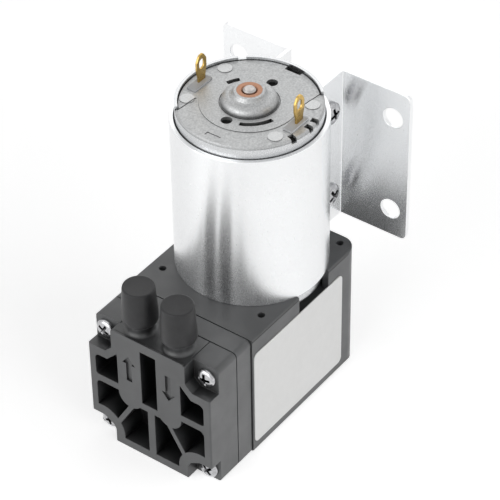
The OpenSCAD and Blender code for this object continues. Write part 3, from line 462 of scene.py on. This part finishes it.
@dataclass(frozen=True)
class SinteredBronze(Finish):
    """Pressed and sintered bronze powder, soaked in oil: a matt coppery face full of tiny dark pores."""

    pore: str = "#6b4a3a"
    pore_size: float = 0.2
    pore_rim: tuple[float, float] = (0.08, 0.3)
    pore_depth: float = 0.02

    def pattern(self, surface: Surface) -> None:
        """Adds the pores, as colour and as relief."""
        cells = add_node(surface.tree, "TexVoronoi", {
            "Vector": surface.place, "Scale": 1 / (self.pore_size * MM),
        }).outputs["Distance"]
        pores = add_node(surface.tree, "MapRange", {
            "Value": cells, "From Min": self.pore_rim[0], "From Max": self.pore_rim[1],
            "To Min": 1.0, "To Max": 0.0,
        }).outputs["Result"]
        surface.tint(pores, self.pore)
        surface.relief(cells, self.pore_depth)


@dataclass(frozen=True)
class Laminations(Finish):
    """A stack of stamped steel sheets, whose edges show with dark varnish between them."""

    sheet: float = 0.5
    varnish: str = "#2c2d2f"
    varnish_depth: float = 0.03
    waviness: float = 0.4

    def pattern(self, surface: Surface) -> None:
        """Adds a stripe for about each sheet of the stack."""
        stripes = add_node(surface.tree, "TexWave", {
            "Vector": surface.place, "Scale": 1 / (self.sheet * MM * math.pi),
            "Distortion": self.waviness,
        }, wave_type="BANDS", bands_direction="Z").outputs["Fac"]
        surface.tint(stripes, self.varnish)
        surface.relief(stripes, self.varnish_depth)


@dataclass(frozen=True)
class LabelFilm(Finish):
    """White polyester label: smooth film over an adhesive, so gently orange-peeled."""

    shade: str = "#e1e1e0"
    peel_size: float = 2.0
    peel_depth: float = 0.003

    def pattern(self, surface: Surface) -> None:
        """Adds faint unevenness in colour and relief."""
        peel = surface.unevenness(self.peel_size, detail=2)
        surface.tint(surface.between(peel, 0.0, 1.0), self.shade)
        surface.relief(peel, self.peel_depth)


# Dark grey and half matt: it gleams softly at its rounded corners.
CASING_PLASTIC = MouldedPlastic("moulded_glass_filled_nylon", "#4e4f50", 0.36, edge=0.2, shine=0.6)
# The same nylon, a shade paler outside, with painted shade that makes it nearly black down in its pockets.
HEAD_PLASTIC = MouldedPlastic(
    "moulded_glass_filled_nylon_head", "#555657", 0.36, edge=0.26, shine=0.6, pocket=8)
# Near black, with a faint dusty bloom and a broad dull highlight.
CAP_RUBBER = Rubber("moulded_black_rubber", "#212122", 0.44, edge=0.12, shine=0.36)
VALVE_RUBBER = Rubber("moulded_valve_rubber", "#242425", 0.55, edge=0.1)
# Pale and bright: it shows what stands round it as soft upright streaks.
HOLDER_STEEL = RolledSheet("rolled_nickel_plated_strip", "#f0f1f2", 0.27, 1.0, edge=0.08)
# Light grey, smoother than the cap because the drawing die has burnished it.
CAN_STEEL = ZincSheet("drawn_zinc_plated_can", "#d2d3d4", 0.28, 1.0, edge=0.08, shade="#c2c4c6")
# Mid grey and matt, with a speckle like frost.
CAP_STEEL = StampedCap("stamped_zinc_plated_sheet", "#bcbdbd", 0.5, 1.0, edge=0.06, grain=0.4)
# Bright heads, with painted shade that makes the crossed recess black.
SCREW_STEEL = PlatedMetal("headed_nickel_plated_steel", "#c9c9cb", 0.16, 1.0, edge=0.03, recess_shade=1.2)
# Yellow, with brownish stains.
TERMINAL_BRASS = PlatedMetal("stamped_yellow_brass", "#cfae68", 0.28, 1.0, edge=0.06, shade="#b09250")
MACHINED_BRASS = PlatedMetal("turned_brass", "#b8924a", 0.3, 1.0, shade="#8f6d30")
# Coppery pink and dull.
BUSH_BRONZE = SinteredBronze("sintered_bronze", "#b88a70", 0.5, 0.8)
# Warm grey, with a clear highlight.
SHAFT_STEEL = PlatedMetal("ground_shaft_steel", "#b9b4b1", 0.3, 1.0, shade="#97928f")
# Inside the can: striped steel, orange lacquered wire, dull dark ferrite and carbon.
CORE_STEEL = Laminations("laminated_core_steel", "#74777a", 0.45, 1.0)
COIL_COPPER = PlatedMetal("enamelled_copper_wire", "#a85a32", 0.35, 0.9, shade="#7d3c1e")
FERRITE = PressedPowder("pressed_ferrite", "#3a3a3c", 0.6, 0.0, grain=0.3, shade="#2c2c2e")
CARBON = PressedPowder("pressed_carbon", "#262628", 0.55, 0.0, grain=0.25, shade="#19191a")
# Milky grey and matt round the terminals.
INSULATOR = MouldedPlastic("moulded_natural_nylon", "#c4c5c6", 0.5, edge=0.06, cloud="#babbbd")
# Dark phenolic, dull, and made near black as a painted shade for the motor's dark inside, so that the end
# cap's openings read as black.
BRUSH_BOARD = MouldedPlastic(
    "punched_phenolic_board", "#0f0f0f", 0.6, edge=0.05, shine=0.15, cloud="#0b0b0b")
# Inside the casing: ivory rod, pale turned disc.
ROD_PLASTIC = MouldedPlastic("moulded_acetal", "#d2d0c6", 0.4, edge=0.2, cloud="#c2c0b5")
DISC_ALUMINIUM = PlatedMetal("turned_aluminium", "#c8c9cb", 0.3, 1.0, shade="#a5a6a9")
# Off-white with a faint, uneven gloss.
LABEL_FILM = LabelFilm("white_polyester_label", "#e4e4e3", 0.42, edge=0.05, shine=0.35)


class Workpiece:
    """A mesh on the bench, shaped by the operators that a modeller uses by hand."""

    def __init__(self, obj: bpy.types.Object) -> None:
        """Takes the primitive just added as the work."""
        self.obj = obj

    @staticmethod
    def clear_bench() -> None:
        """Leaves edit mode and deselects everything."""
        if bpy.context.object and bpy.context.object.mode != "OBJECT":
            bpy.ops.object.mode_set(mode="OBJECT")
        bpy.ops.object.select_all(action="DESELECT")

    @classmethod
    def block(cls, low: Sequence[float], high: Sequence[float]) -> "Workpiece":
        """Starts from a box.

        Args:
            low: its corner with the least x, y and z, in mm.
            high: the opposite corner.

        Returns:
            The box.
        """
        cls.clear_bench()
        size, centre = Vector(high) - Vector(low), (Vector(low) + Vector(high)) / 2
        bpy.ops.mesh.primitive_cube_add(size=1, location=centre * MM, scale=size * MM)
        work = cls(bpy.context.object)
        work.settle()
        return work

    @classmethod
    def rod(cls, radius: float, start: Sequence[float], end: Sequence[float], sides: int) -> "Workpiece":
        """Starts from a closed cylinder.

        Args:
            radius: its radius in mm.
            start: middle of its first end, in mm.
            end: middle of its other end.
            sides: corners of its round.

        Returns:
            The cylinder.
        """
        cls.clear_bench()
        run = Vector(end) - Vector(start)
        bpy.ops.mesh.primitive_cylinder_add(vertices=sides, radius=radius * MM, depth=run.length * MM)
        work = cls(bpy.context.object)
        turn = run.to_track_quat("Z", "Y").to_matrix().to_4x4()
        work.obj.matrix_world = placed((Vector(start) + Vector(end)) / 2) @ turn
        work.settle()
        return work

    @classmethod
    def turned(cls, profile: Sequence[tuple[float, float]], sides: int) -> "Workpiece":
        """Turns a closed piece round the Z axis from a ring that is extruded station by station.

        Args:
            profile: radius and height of each station in mm; the first is closed flat, the last has radius 0.
            sides: corners of its round.

        Returns:
            The piece.
        """
        cls.clear_bench()
        radius, height = profile[0]
        bpy.ops.mesh.primitive_circle_add(vertices=sides, radius=radius * MM, location=(0, 0, 0))
        work = cls(bpy.context.object)
        work.obj.data.transform(placed((0, 0, height)))
        with work.editing():
            bpy.ops.mesh.select_all(action="SELECT")
            bpy.ops.mesh.edge_face_add()
            work.pick(Element.EDGE, lambda middle, edge: True)
            for (r0, z0), (r1, z1) in zip(profile, profile[1:]):
                bpy.ops.mesh.extrude_region_move(TRANSFORM_OT_translate={"value": (0, 0, (z1 - z0) * MM)})
                if r1 == 0:
                    bpy.ops.mesh.merge(type="CENTER")
                elif r1 != r0:
                    bpy.ops.transform.resize(value=(r1 / r0, r1 / r0, 1), center_override=(0, 0, z1 * MM))
        work.outward()
        return work

    def settle(self) -> None:
        """Puts the object at the origin, with its place in its mesh."""
        self.activate()
        bpy.ops.object.transform_apply(location=True, rotation=True, scale=True)

    def activate(self) -> None:
        """Makes this piece the only selected one."""
        self.clear_bench()
        self.obj.select_set(True)
        bpy.context.view_layer.objects.active = self.obj

    @contextmanager
    def editing(self) -> Iterator[None]:
        """Opens edit mode on this piece for as long as the block runs."""
        self.activate()
        bpy.ops.object.mode_set(mode="EDIT")
        yield
        bpy.ops.object.mode_set(mode="OBJECT")

    def pick(self, element: Element, wanted: Callable[[Vector, Item], bool]) -> None:
        """Selects in edit mode the elements that `wanted` accepts.

        Args:
            element: what is tested and selected.
            wanted: takes an element's middle in mm and the element itself.
        """
        bpy.ops.mesh.select_mode(type=element.value)
        bpy.ops.mesh.select_all(action="DESELECT")
        mesh = bmesh.from_edit_mesh(self.obj.data)
        items = {Element.VERT: mesh.verts, Element.EDGE: mesh.edges, Element.FACE: mesh.faces}[element]
        for item in items:
            points = [item.co] if element is Element.VERT else [v.co for v in item.verts]
            if wanted(sum(points, Vector()) / len(points) / MM, item):
                item.select_set(True)
        mesh.select_flush_mode()
        bmesh.update_edit_mesh(self.obj.data)

    def modify(self, kind: str, **settings: object) -> None:
        """Adds a modifier and applies it.

        Args:
            kind: the modifier's type.
            settings: its properties.
        """
        self.activate()
        modifier = self.obj.modifiers.new(kind.lower(), kind)
        for name, value in settings.items():
            setattr(modifier, name, value)
        bpy.ops.object.modifier_apply(modifier=modifier.name)

    def cut(self, *tools: "Workpiece", operation: str = "DIFFERENCE") -> None:
        """Cuts with other pieces and removes them.

        Args:
            tools: the cutters.
            operation: DIFFERENCE takes a cutter's shape away, INTERSECT keeps only what is inside it.
        """
        for tool in tools:
            self.modify("BOOLEAN", operation=operation, object=tool.obj, solver="EXACT")
            bpy.data.objects.remove(tool.obj)

    def outward(self) -> None:
        """Merges doubles and turns the faces outwards."""
        with self.editing():
            bpy.ops.mesh.select_all(action="SELECT")
            bpy.ops.mesh.remove_doubles(threshold=1e-7)
            bpy.ops.mesh.normals_make_consistent(inside=False)

    def soften(self, width: float) -> None:
        """Rounds the sharp edges by `width` mm."""
        self.modify("BEVEL", width=width * MM, segments=2, limit_method="ANGLE",
                    angle_limit=math.radians(SHARP_ANGLE), harden_normals=False, use_clamp_overlap=True)

    def copy_at(self, place: Matrix) -> "Workpiece":
        """Copies the piece to another place.

        Args:
            place: the copy's place and turn.

        Returns:
            The copy, which has a mesh of its own.
        """
        twin = self.obj.copy()
        twin.data = self.obj.data.copy()
        bpy.context.scene.collection.objects.link(twin)
        twin.matrix_world = place
        work = Workpiece(twin)
        work.settle()
        return work

    def scatter(self, places: Sequence[Matrix]) -> "Workpiece":
        """Copies the piece to several places as one piece, and removes the original.

        Args:
            places: each copy's place and turn.

        Returns:
            The copies, joined.
        """
        copies = [self.copy_at(place) for place in places]
        bpy.data.objects.remove(self.obj)
        copies[0].activate()
        for other in copies[1:]:
            other.obj.select_set(True)
        bpy.ops.object.join()
        return copies[0]

    def deliver(self, name: str, finish: Finish, body: Body, slot: str, node: str, angle: float = 35) -> None:
        """Smooths, names and dresses the piece and hands it to its body.

        Args:
            name: the piece's name.
            finish: its surface.
            body: what it rides on.
            slot: the record's material slot; not used.
            node: the CAD node that it stands for.
            angle: edges sharper than this many degrees stay crisp.
        """
        self.settle()
        bpy.ops.object.shade_smooth_by_angle(angle=math.radians(angle))
        self.obj.name = self.obj.data.name = name
        self.obj.data.materials.clear()
        self.obj.data.materials.append(finish.material())
        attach(self.obj, body.value)
        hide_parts(node)
        LOG.info("%s: %d faces, rides on %s", name, len(self.obj.data.polygons), body.value)


def dress(finish: Finish, *nodes: str) -> None:
    """Gives CAD nodes their finish.

    Args:
        finish: the surface that they share.
        nodes: names of the CAD nodes.
    """
    for name in nodes:
        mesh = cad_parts[name].data
        mesh.materials.clear()
        mesh.materials.append(finish.material())
        LOG.info("%s: %s", name, finish.name)


@dataclass
class MotorHolder:
    """The bent sheet that wraps the can, with two legs and two drilled flanges.

    leg_x is a leg's outer face, flange_y the flanges' front face and reach their outer edge. The bends' radii
    are those of the middle of the gauge, and heights of holes are from the middle of the strip.
    """

    inner_r: float = 18.1
    thick: float = 1.1
    low: float = 36.6
    height: float = 43.9
    leg_x: float = 8.25
    flange_y: float = 26.8
    reach: float = 27.9
    corner_r: float = 1.8
    leg_bend: float = 1.35
    flange_bend: float = 0.85
    edge_r: float = 0.16
    hole_x: float = 23.0
    hole_z: float = 14.0
    hole_r: float = 2.75
    hole_drill: tuple[float, float] = (-2.0, 4.0)
    clamp_y: float = 21.4
    clamp_z: float = 12.5
    clamp_r: float = 1.65
    clamp_drill: float = 12.0
    wrap_steps: int = 110
    bend_steps: int = 10
    stub: float = 1.0
    crisp_angle: float = 18.0

    def build(self) -> None:
        """Bends one half of the strip, mirrors it, gives it its gauge and drills it."""
        strip = self.half_strip()
        strip.modify("MIRROR", use_axis=(True, False, False), merge_threshold=1e-6)
        strip.outward()
        strip.modify("SOLIDIFY", thickness=self.thick * MM, offset=0.0, use_even_offset=True)
        middle = self.low + self.height / 2
        front, rear = [self.flange_y + end for end in self.hole_drill]
        for side in (-1, 1):
            for row in (-1, 1):
                x, z = side * self.hole_x, middle + row * self.hole_z
                strip.cut(Workpiece.rod(self.hole_r, (x, front, z), (x, rear, z), sides=64))
        for row in (-1, 1):
            z = middle + row * self.clamp_z
            ends = [(x, self.clamp_y, z) for x in (-self.clamp_drill, self.clamp_drill)]
            strip.cut(Workpiece.rod(self.clamp_r, *ends, sides=40))
        strip.soften(self.edge_r)
        strip.deliver("holder_strip", HOLDER_STEEL, Body.PUMP, "bright_holder", "motor_holder",
                      angle=self.crisp_angle)

    def half_strip(self) -> Workpiece:
        """Draws the +X half of the strip as a sheet with no thickness, along the middle of its gauge.

        Returns:
            The half sheet.
        """
        wrap_r = self.inner_r + self.thick / 2
        leg_x = self.leg_x - self.thick / 2
        flange_y = self.flange_y + self.thick / 2
        bend_x = leg_x + self.leg_bend
        bend_y = math.sqrt((wrap_r + self.leg_bend) ** 2 - bend_x ** 2)
        bend_angle = math.atan2(bend_y, bend_x)
        Workpiece.clear_bench()
        bpy.ops.mesh.primitive_plane_add(size=1, location=(0, 0, 0))
        sheet = Workpiece(bpy.context.object)
        sheet.obj.matrix_world = (
            placed((self.stub / 2, -wrap_r, self.low + self.height / 2))
            @ Matrix.Diagonal((self.stub * MM, 1, self.height * MM, 1)) @ Matrix.Rotation(math.pi / 2, 4, "X")
        )
        sheet.settle()
        with sheet.editing():
            sheet.pick(Element.VERT, lambda middle, vert: middle.x > self.stub / 2)
            bpy.ops.mesh.delete(type="VERT")
            bpy.ops.mesh.select_all(action="SELECT")
            self.bend(self.wrap_steps, math.pi / 2 + bend_angle, (0, 0))
            self.bend(self.bend_steps, -bend_angle, (bend_x, bend_y))
            self.run(0, flange_y - self.flange_bend - bend_y)
            self.bend(self.bend_steps, -math.pi / 2, (leg_x + self.flange_bend, flange_y - self.flange_bend))
            self.run(self.reach - leg_x - self.flange_bend, 0)
            sheet.pick(Element.VERT, lambda middle, vert: middle.x > self.reach - HAIR)
            bpy.ops.mesh.bevel(offset=self.corner_r * MM, offset_type="OFFSET", segments=self.bend_steps,
                               affect="VERTICES")
        return sheet

    @staticmethod
    def bend(steps: int, angle: float, centre: tuple[float, float]) -> None:
        """Sweeps the selected edge round a vertical line.

        Args:
            steps: how many faces the bend has.
            angle: how far it goes, in radians, positive where it turns to the left.
            centre: x and y of the line, in mm.
        """
        x, y = centre
        bpy.ops.mesh.spin(steps=steps, angle=-angle, center=(x * MM, y * MM, 0), axis=(0, 0, 1))

    @staticmethod
    def run(dx: float, dy: float) -> None:
        """Extends the sheet straight on from the selected edge, in mm."""
        bpy.ops.mesh.extrude_region_move(TRANSFORM_OT_translate={"value": (dx * MM, dy * MM, 0)})


@dataclass
class CrossScrew:
    """A pan-headed screw with a crossed recess, upright, with its head above z = 0.

    The sizes are in mm; head_rim is a share of the head's height, thread_depth a share of the pitch, and the
    wings of the recess are shares of the head's radius and height.
    """

    head_r: float
    head_h: float
    shank_r: float
    length: float
    pitch: float
    tip: float = 0.5
    plain: float = 0.6
    thread_depth: float = 0.3
    head_edge: float = 0.12
    head_rim: float = 0.42
    crown_power: float = 0.8
    crown_angles: tuple[float, ...] = (15, 30, 45, 60, 75, 84)
    wing_reach: float = 0.78
    wing_half: float = 0.22
    wing_depth: float = 0.85
    wing_clear: float = 0.3
    wing_taper: tuple[float, float] = (0.35, 0.6)

    def build(self) -> Workpiece:
        """Turns the head and the threaded shank, then sinks the recess.

        Returns:
            The screw.
        """
        radius, shank, rim = self.head_r, self.shank_r, self.head_rim
        z = -self.length + self.tip
        profile = [(shank - self.tip, -self.length), (shank, z)]
        while z + self.pitch < -self.plain:
            profile += [(shank - self.thread_depth * self.pitch, z + self.pitch / 2), (shank, z + self.pitch)]
            z += self.pitch
        profile += [(shank, 0), (radius - self.head_edge, 0), (radius, self.head_edge)]
        profile.append((radius, self.head_h * rim))
        for angle in self.crown_angles:
            turn = math.radians(angle)
            height = self.head_h * (rim + (1 - rim) * math.sin(turn))
            profile.append((radius * math.cos(turn) ** self.crown_power, height))
        profile.append((0, self.head_h))
        screw = Workpiece.turned(profile, sides=40)
        screw.cut(self.wing(0), self.wing(90))
        return screw

    def wing(self, angle: float) -> Workpiece:
        """Makes one wing of the recess cutter, narrower at its foot.

        Args:
            angle: how far it is turned round the screw, in degrees.

        Returns:
            The wing.
        """
        reach = self.head_r * self.wing_reach
        half = reach * self.wing_half
        foot, top = self.head_h - self.head_h * self.wing_depth, self.head_h + self.wing_clear
        wing = Workpiece.block((-reach, -half, foot), (reach, half, top))
        with wing.editing():
            wing.pick(Element.FACE, lambda middle, face: face.normal.z < -0.5)
            bpy.ops.transform.resize(value=(*self.wing_taper, 1), center_override=(0, 0, 0))
        wing.obj.matrix_world = Matrix.Rotation(math.radians(angle), 4, "Z")
        wing.settle()
        return wing


@dataclass
class HexNut:
    """A chamfered M3 nut, 5.5 mm across its flats, that stands on z = 0."""

    corner_r: float = 3.175
    height: float = 2.4
    face_r: float = 2.65
    barrel_r: float = 3.25
    chamfer_h: float = 0.35
    bore_r: float = 1.52
    drill: tuple[float, float] = (-1.0, 4.0)

    def build(self) -> Workpiece:
        """Trims a hexagon with a chamfered barrel and bores it.

        Returns:
            The nut.
        """
        nut = Workpiece.rod(self.corner_r, (0, 0, 0), (0, 0, self.height), sides=6)
        barrel = Workpiece.turned([
            (self.face_r, 0), (self.barrel_r, self.chamfer_h), (self.barrel_r, self.height - self.chamfer_h),
            (self.face_r, self.height), (0, self.height),
        ], sides=48)
        nut.cut(barrel, operation="INTERSECT")
        low, high = self.drill
        nut.cut(Workpiece.rod(self.bore_r, (0, 0, low), (0, 0, high), sides=40))
        return nut


@dataclass
class Fasteners:
    """The screws and nuts that show: four in the head, `recess` mm behind its face, and two in the holder.

    Each screw is turned a little differently, as screws stop where they are tight.
    """

    face_y: float = -42.2
    recess: float = 3.6
    head_x: float = 15.2
    head_rows: tuple[float, float] = (3.1, 33.0)
    head_turns: tuple[float, ...] = (0.3, 1.1, 0.7, 0.1)
    leg_x: float = 8.25
    clamp_y: float = 21.4
    clamp_z: float = 58.55
    clamp_pitch: float = 12.5
    clamp_turns: tuple[float, float] = (0.5, 0.2)

    def build(self) -> None:
        """Makes one screw of each kind, copies it to its holes and adds the nuts."""
        seats = [(x * self.head_x, self.face_y + self.recess, z) for x in (-1, 1) for z in self.head_rows]
        head = CrossScrew(head_r=2.55, head_h=1.5, shank_r=1.25, length=18.9, pitch=0.45).build().scatter([
            placed(seat, (math.pi / 2, "X"), (turn, "Z")) for seat, turn in zip(seats, self.head_turns)
        ])
        head.deliver("head_cross_screws", SCREW_STEEL, Body.PUMP, "plated_screws", "head_screws")
        clamp = CrossScrew(head_r=3.0, head_h=1.7, shank_r=1.45, length=19.8, pitch=0.5).build().scatter([
            self.clamp_place(self.leg_x, side) @ Matrix.Rotation(turn, 4, "Z")
            for side, turn in zip((-1, 1), self.clamp_turns)
        ])
        clamp.deliver("clamp_cross_screws", SCREW_STEEL, Body.PUMP, "plated_screws", "holder_screws")
        nut = HexNut()
        nuts = nut.build().scatter([self.clamp_place(-self.leg_x - nut.height, side) for side in (-1, 1)])
        nuts.deliver("clamp_hex_nuts", SCREW_STEEL, Body.PUMP, "plated_screws", "holder_nuts")

    def clamp_place(self, x: float, side: int) -> Matrix:
        """Gives the place of a clamp screw or its nut, its local +Z along +X."""
        return placed((x, self.clamp_y, self.clamp_z + side * self.clamp_pitch), (math.pi / 2, "Y"))


@dataclass
class DustCaps:
    """Soft caps pulled over the two ports. Each is a body of its own, named as its CAD node is."""

    port_x: float = 5.8
    port_y: float = -37.15
    seat_z: float = 39.4
    height: float = 10.4
    roof: float = 1.3
    top_r: float = 4.0
    foot_r: float = 4.5
    bore_r: float = 3.0
    crisp_angle: float = 50.0

    def build(self) -> None:
        """Turns one cap, from its bore round its foot and up to its crown, and copies it to both ports."""
        top, foot, bore, high = self.top_r, self.foot_r, self.bore_r, self.height
        inside = [(bore, high - self.roof), (bore, 0.25), (bore + 0.2, 0)]
        bead = [(foot - 0.75, 0), (foot - 0.4, 0.12), (foot - 0.13, 0.42), (foot, 0.95), (foot, 1.7)]
        side = [(foot - 0.06, 3.2), (foot - 0.2, 6.0), (top + 0.06, high - 0.5), (top, high - 0.22)]
        crown = [
            (top - 0.07, high - 0.07), (top - 0.22, high), (top - 0.5, high - 0.02),
            (top * 0.5, high - 0.1), (0, high - 0.12),
        ]
        cap = Workpiece.turned(inside + bead + side + crown, sides=96)
        for x, body in ((self.port_x, Body.INLET_CAP), (-self.port_x, Body.OUTLET_CAP)):
            node = body.value
            copy = cap.copy_at(placed((x, self.port_y, self.seat_z)))
            copy.deliver("soft_" + node, CAP_RUBBER, body, "cap_rubber", node, angle=self.crisp_angle)
        bpy.data.objects.remove(cap.obj)


@dataclass
class Terminals:
    """Two upright blades: a narrow foot, a wider pierced part and a narrow rounded top.

    A blade widens between the two heights of `shoulder` and narrows from `brow` to its top. Its eye is an
    upright slot, whose round ends have their middles at the two heights of `hole_z`.
    """

    at_x: float = 14.2
    foot_half: float = 1.3
    eye_half: float = 1.85
    top_half: float = 0.74
    thick: float = 0.5
    root: float = 80.0
    shoulder: tuple[float, float] = (85.38, 87.59)
    brow: float = 89.94
    top: float = 91.69
    hole_r: float = 0.95
    hole_z: tuple[float, float] = (88.58, 89.48)
    punch: float = 2.0
    corner: float = 0.45
    edge_r: float = 0.09

    def build(self) -> None:
        """Stamps one blade, pierces it and copies it to both sides."""
        Workpiece.clear_bench()
        bpy.ops.mesh.primitive_plane_add(size=1, rotation=(0, math.pi / 2, 0))
        blade = Workpiece(bpy.context.object)
        blade.settle()
        low, high = self.root, self.shoulder[0]
        foot = Matrix.Diagonal((1, 2 * self.foot_half * MM, (high - low) * MM, 1))
        blade.obj.data.transform(placed((0, 0, (low + high) / 2)) @ foot)
        stations = [
            (self.foot_half, self.shoulder[0]), (self.eye_half, self.shoulder[1]),
            (self.eye_half, self.brow), (self.top_half, self.top),
        ]
        with blade.editing():
            blade.pick(Element.EDGE, lambda middle, edge: middle.z > high - HAIR)
            for (w0, z0), (w1, z1) in zip(stations, stations[1:]):
                bpy.ops.mesh.extrude_region_move(TRANSFORM_OT_translate={"value": (0, 0, (z1 - z0) * MM)})
                bpy.ops.transform.resize(value=(1, w1 / w0, 1), center_override=(0, 0, z1 * MM))
            blade.pick(Element.VERT, lambda middle, vert: middle.z > high - HAIR)
            bpy.ops.mesh.bevel(offset=self.corner * MM, segments=5, affect="VERTICES")
        blade.modify("SOLIDIFY", thickness=self.thick * MM, offset=0.0)
        eye = [
            Workpiece.rod(self.hole_r, (-self.punch, 0, z), (self.punch, 0, z), sides=32) for z in self.hole_z
        ]
        low, high = self.hole_z
        eye.append(Workpiece.block((-self.punch, -self.hole_r, low), (self.punch, self.hole_r, high)))
        blade.cut(*eye)
        blade.soften(self.edge_r)
        pair = blade.scatter([placed((x, 0, 0)) for x in (self.at_x, -self.at_x)])
        pair.deliver("eyed_terminals", TERMINAL_BRASS, Body.PUMP, "terminal_brass", "terminals")


class Mechanism:
    """CAD nodes whose shape is right, which only need their finish."""

    def build(self) -> None:
        """Dresses the carried-over nodes."""
        dress(CASING_PLASTIC, "casing", "base_cover")
        dress(HEAD_PLASTIC, "head_cover", "valve_plate")
        dress(CAN_STEEL, "motor_can")
        dress(CAP_STEEL, "end_cap")
        dress(BUSH_BRONZE, "front_bush", "rear_bush")
        dress(SHAFT_STEEL, "rotor_shaft", "bearing_inner_race", "bearing_outer_race", "bearing_balls")
        dress(SCREW_STEEL, "base_screws", "motor_screws", "clamp_bolt")
        dress(INSULATOR, "terminal_insulators")
        dress(BRUSH_BOARD, "brush_plate")
        dress(TERMINAL_BRASS, "brush_arms")
        dress(MACHINED_BRASS, "eccentric")
        dress(CORE_STEEL, "armature_core")
        dress(COIL_COPPER, "armature_windings", "commutator")
        dress(FERRITE, "field_magnets")
        dress(CARBON, "carbon_brushes", "grub_screw", "retaining_ring")
        dress(ROD_PLASTIC, "connecting_rod")
        dress(DISC_ALUMINIUM, "clamp_disc")
        dress(VALVE_RUBBER, "diaphragm", "valve_gasket", "inlet_flap", "outlet_flap")
        dress(LABEL_FILM, "side_label")


@dataclass(frozen=True)
class Softbox:
    """A square area lamp: sizes in mm, power in watts, and whether metal and gloss mirror it."""

    name: str
    where: tuple[float, float, float]
    size: float
    power: float
    mirrored: bool = True

    def hang(self, aim: Vector) -> None:
        """Hangs the lamp so that it points at `aim`, a point in mm."""
        light = bpy.data.lights.new(self.name, "AREA")
        light.size = self.size * MM
        light.energy = self.power
        lamp = bpy.data.objects.new(self.name, light)
        lamp.visible_glossy = self.mirrored
        bpy.context.scene.collection.objects.link(lamp)
        turn = (aim - Vector(self.where)).to_track_quat("-Z", "Y")
        lamp.matrix_world = placed(self.where) @ turn.to_matrix().to_4x4()
        LOG.info("%s: %.1f W", self.name, self.power)


@dataclass
class Studio:
    """White sweep, soft lamps and the camera at the photograph's angle.

    The eye is in mm, the angles in degrees, the focal length in pixels of a frame `frame_px` wide.
    """

    eye: tuple[float, float, float] = (274.842, -368.641, 422.919)
    yaw: float = 36.762
    pitch: float = 39.907
    roll: float = -0.881
    focal_px: float = 2424.97
    frame_px: float = 500.0
    sensor: float = 36.0
    aim_z: float = 40.0
    floor_size: float = 6000.0
    floor_colour: str = "#f4f4f4"
    floor_glow: float = 0.57
    fill: float = 0.16
    lamps: tuple[Softbox, ...] = (
        Softbox("side_softbox", (1230, 120, 330), 1600, 16.0, mirrored=False),
        Softbox("front_softbox", (-250, -1150, 330), 1300, 10.8),
        Softbox("rear_softbox", (-500, 1000, 700), 900, 1.5),
    )

    def build(self) -> None:
        """Sets up floor, world, lamps, camera and view."""
        self.floor()
        self.world()
        for lamp in self.lamps:
            lamp.hang(Vector((0, 0, self.aim_z)))
        self.camera()
        bpy.context.scene.view_settings.view_transform = "Standard"

    def floor(self) -> None:
        """Lays a white floor that reads as pure white behind the object and keeps its shadow."""
        Workpiece.clear_bench()
        bpy.ops.mesh.primitive_plane_add(size=self.floor_size * MM, location=(0, 0, 0))
        floor = bpy.context.object
        floor.name = "white_floor"
        sweep = bpy.data.materials.new("white_sweep")
        tree = empty_tree(sweep)
        paper = add_node(tree, "BsdfDiffuse", {"Color": linear(self.floor_colour)}).outputs[0]
        strength = add_node(tree, "Math", {0: self.in_view(tree), 1: self.floor_glow},
                            operation="MULTIPLY").outputs[0]
        glow = add_node(tree, "Emission", {"Color": WHITE, "Strength": strength}).outputs[0]
        both = add_node(tree, "AddShader", {0: paper, 1: glow}).outputs[0]
        add_node(tree, "OutputMaterial", {"Surface": both})
        floor.data.materials.append(sweep)

    @staticmethod
    def in_view(tree: Tree) -> Socket:
        """Tells rays that see the surroundings from those that only carry light.

        Args:
            tree: the node tree that asks.

        Returns:
            1 for rays that are direct, mirrored or passed through glass, and 0 for others.
        """
        rays = add_node(tree, "LightPath").outputs
        either = add_node(tree, "Math", {0: rays["Is Camera Ray"], 1: rays["Is Glossy Ray"]},
                          operation="MAXIMUM").outputs[0]
        return add_node(tree, "Math", {0: either, 1: rays["Is Transmission Ray"]},
                        operation="MAXIMUM").outputs[0]

    def world(self) -> None:
        """Surrounds the object with pale light, white where it is seen or mirrored."""
        world = bpy.data.worlds.new("pale_surround")
        bpy.context.scene.world = world
        tree = empty_tree(world)
        dim, full = MIX_VALUES
        strength = add_node(tree, "Mix", {"Factor": self.in_view(tree), dim: self.fill, full: 1.0})
        sky = add_node(tree, "Background", {
            "Color": WHITE, "Strength": strength.outputs[MIX_VALUE_RESULT],
        }).outputs[0]
        add_node(tree, "OutputWorld", {"Surface": sky})

    def camera(self) -> None:
        """Stands the camera where the photograph was taken from."""
        lens = bpy.data.cameras.new("photo_camera")
        lens.sensor_width = self.sensor
        lens.lens = self.focal_px / self.frame_px * self.sensor
        lens.clip_start, lens.clip_end = 0.05, 20
        camera = bpy.data.objects.new("photo_camera", lens)
        bpy.context.scene.collection.objects.link(camera)
        yaw, tilt, roll = [math.radians(angle) for angle in (self.yaw, 90 - self.pitch, self.roll)]
        camera.matrix_world = placed(self.eye, (yaw, "Z"), (tilt, "X"), (roll, "Z"))
        bpy.context.scene.camera = camera


def main() -> None:
    """Builds every sub-assembly and the studio."""
    logging.basicConfig(level=logging.INFO, format="%(name)s %(message)s")
    for part in (Mechanism(), MotorHolder(), Fasteners(), DustCaps(), Terminals(), Studio()):
        LOG.info("building %s", type(part).__name__)
        part.build()


if __name__ == "__main__":
    main()
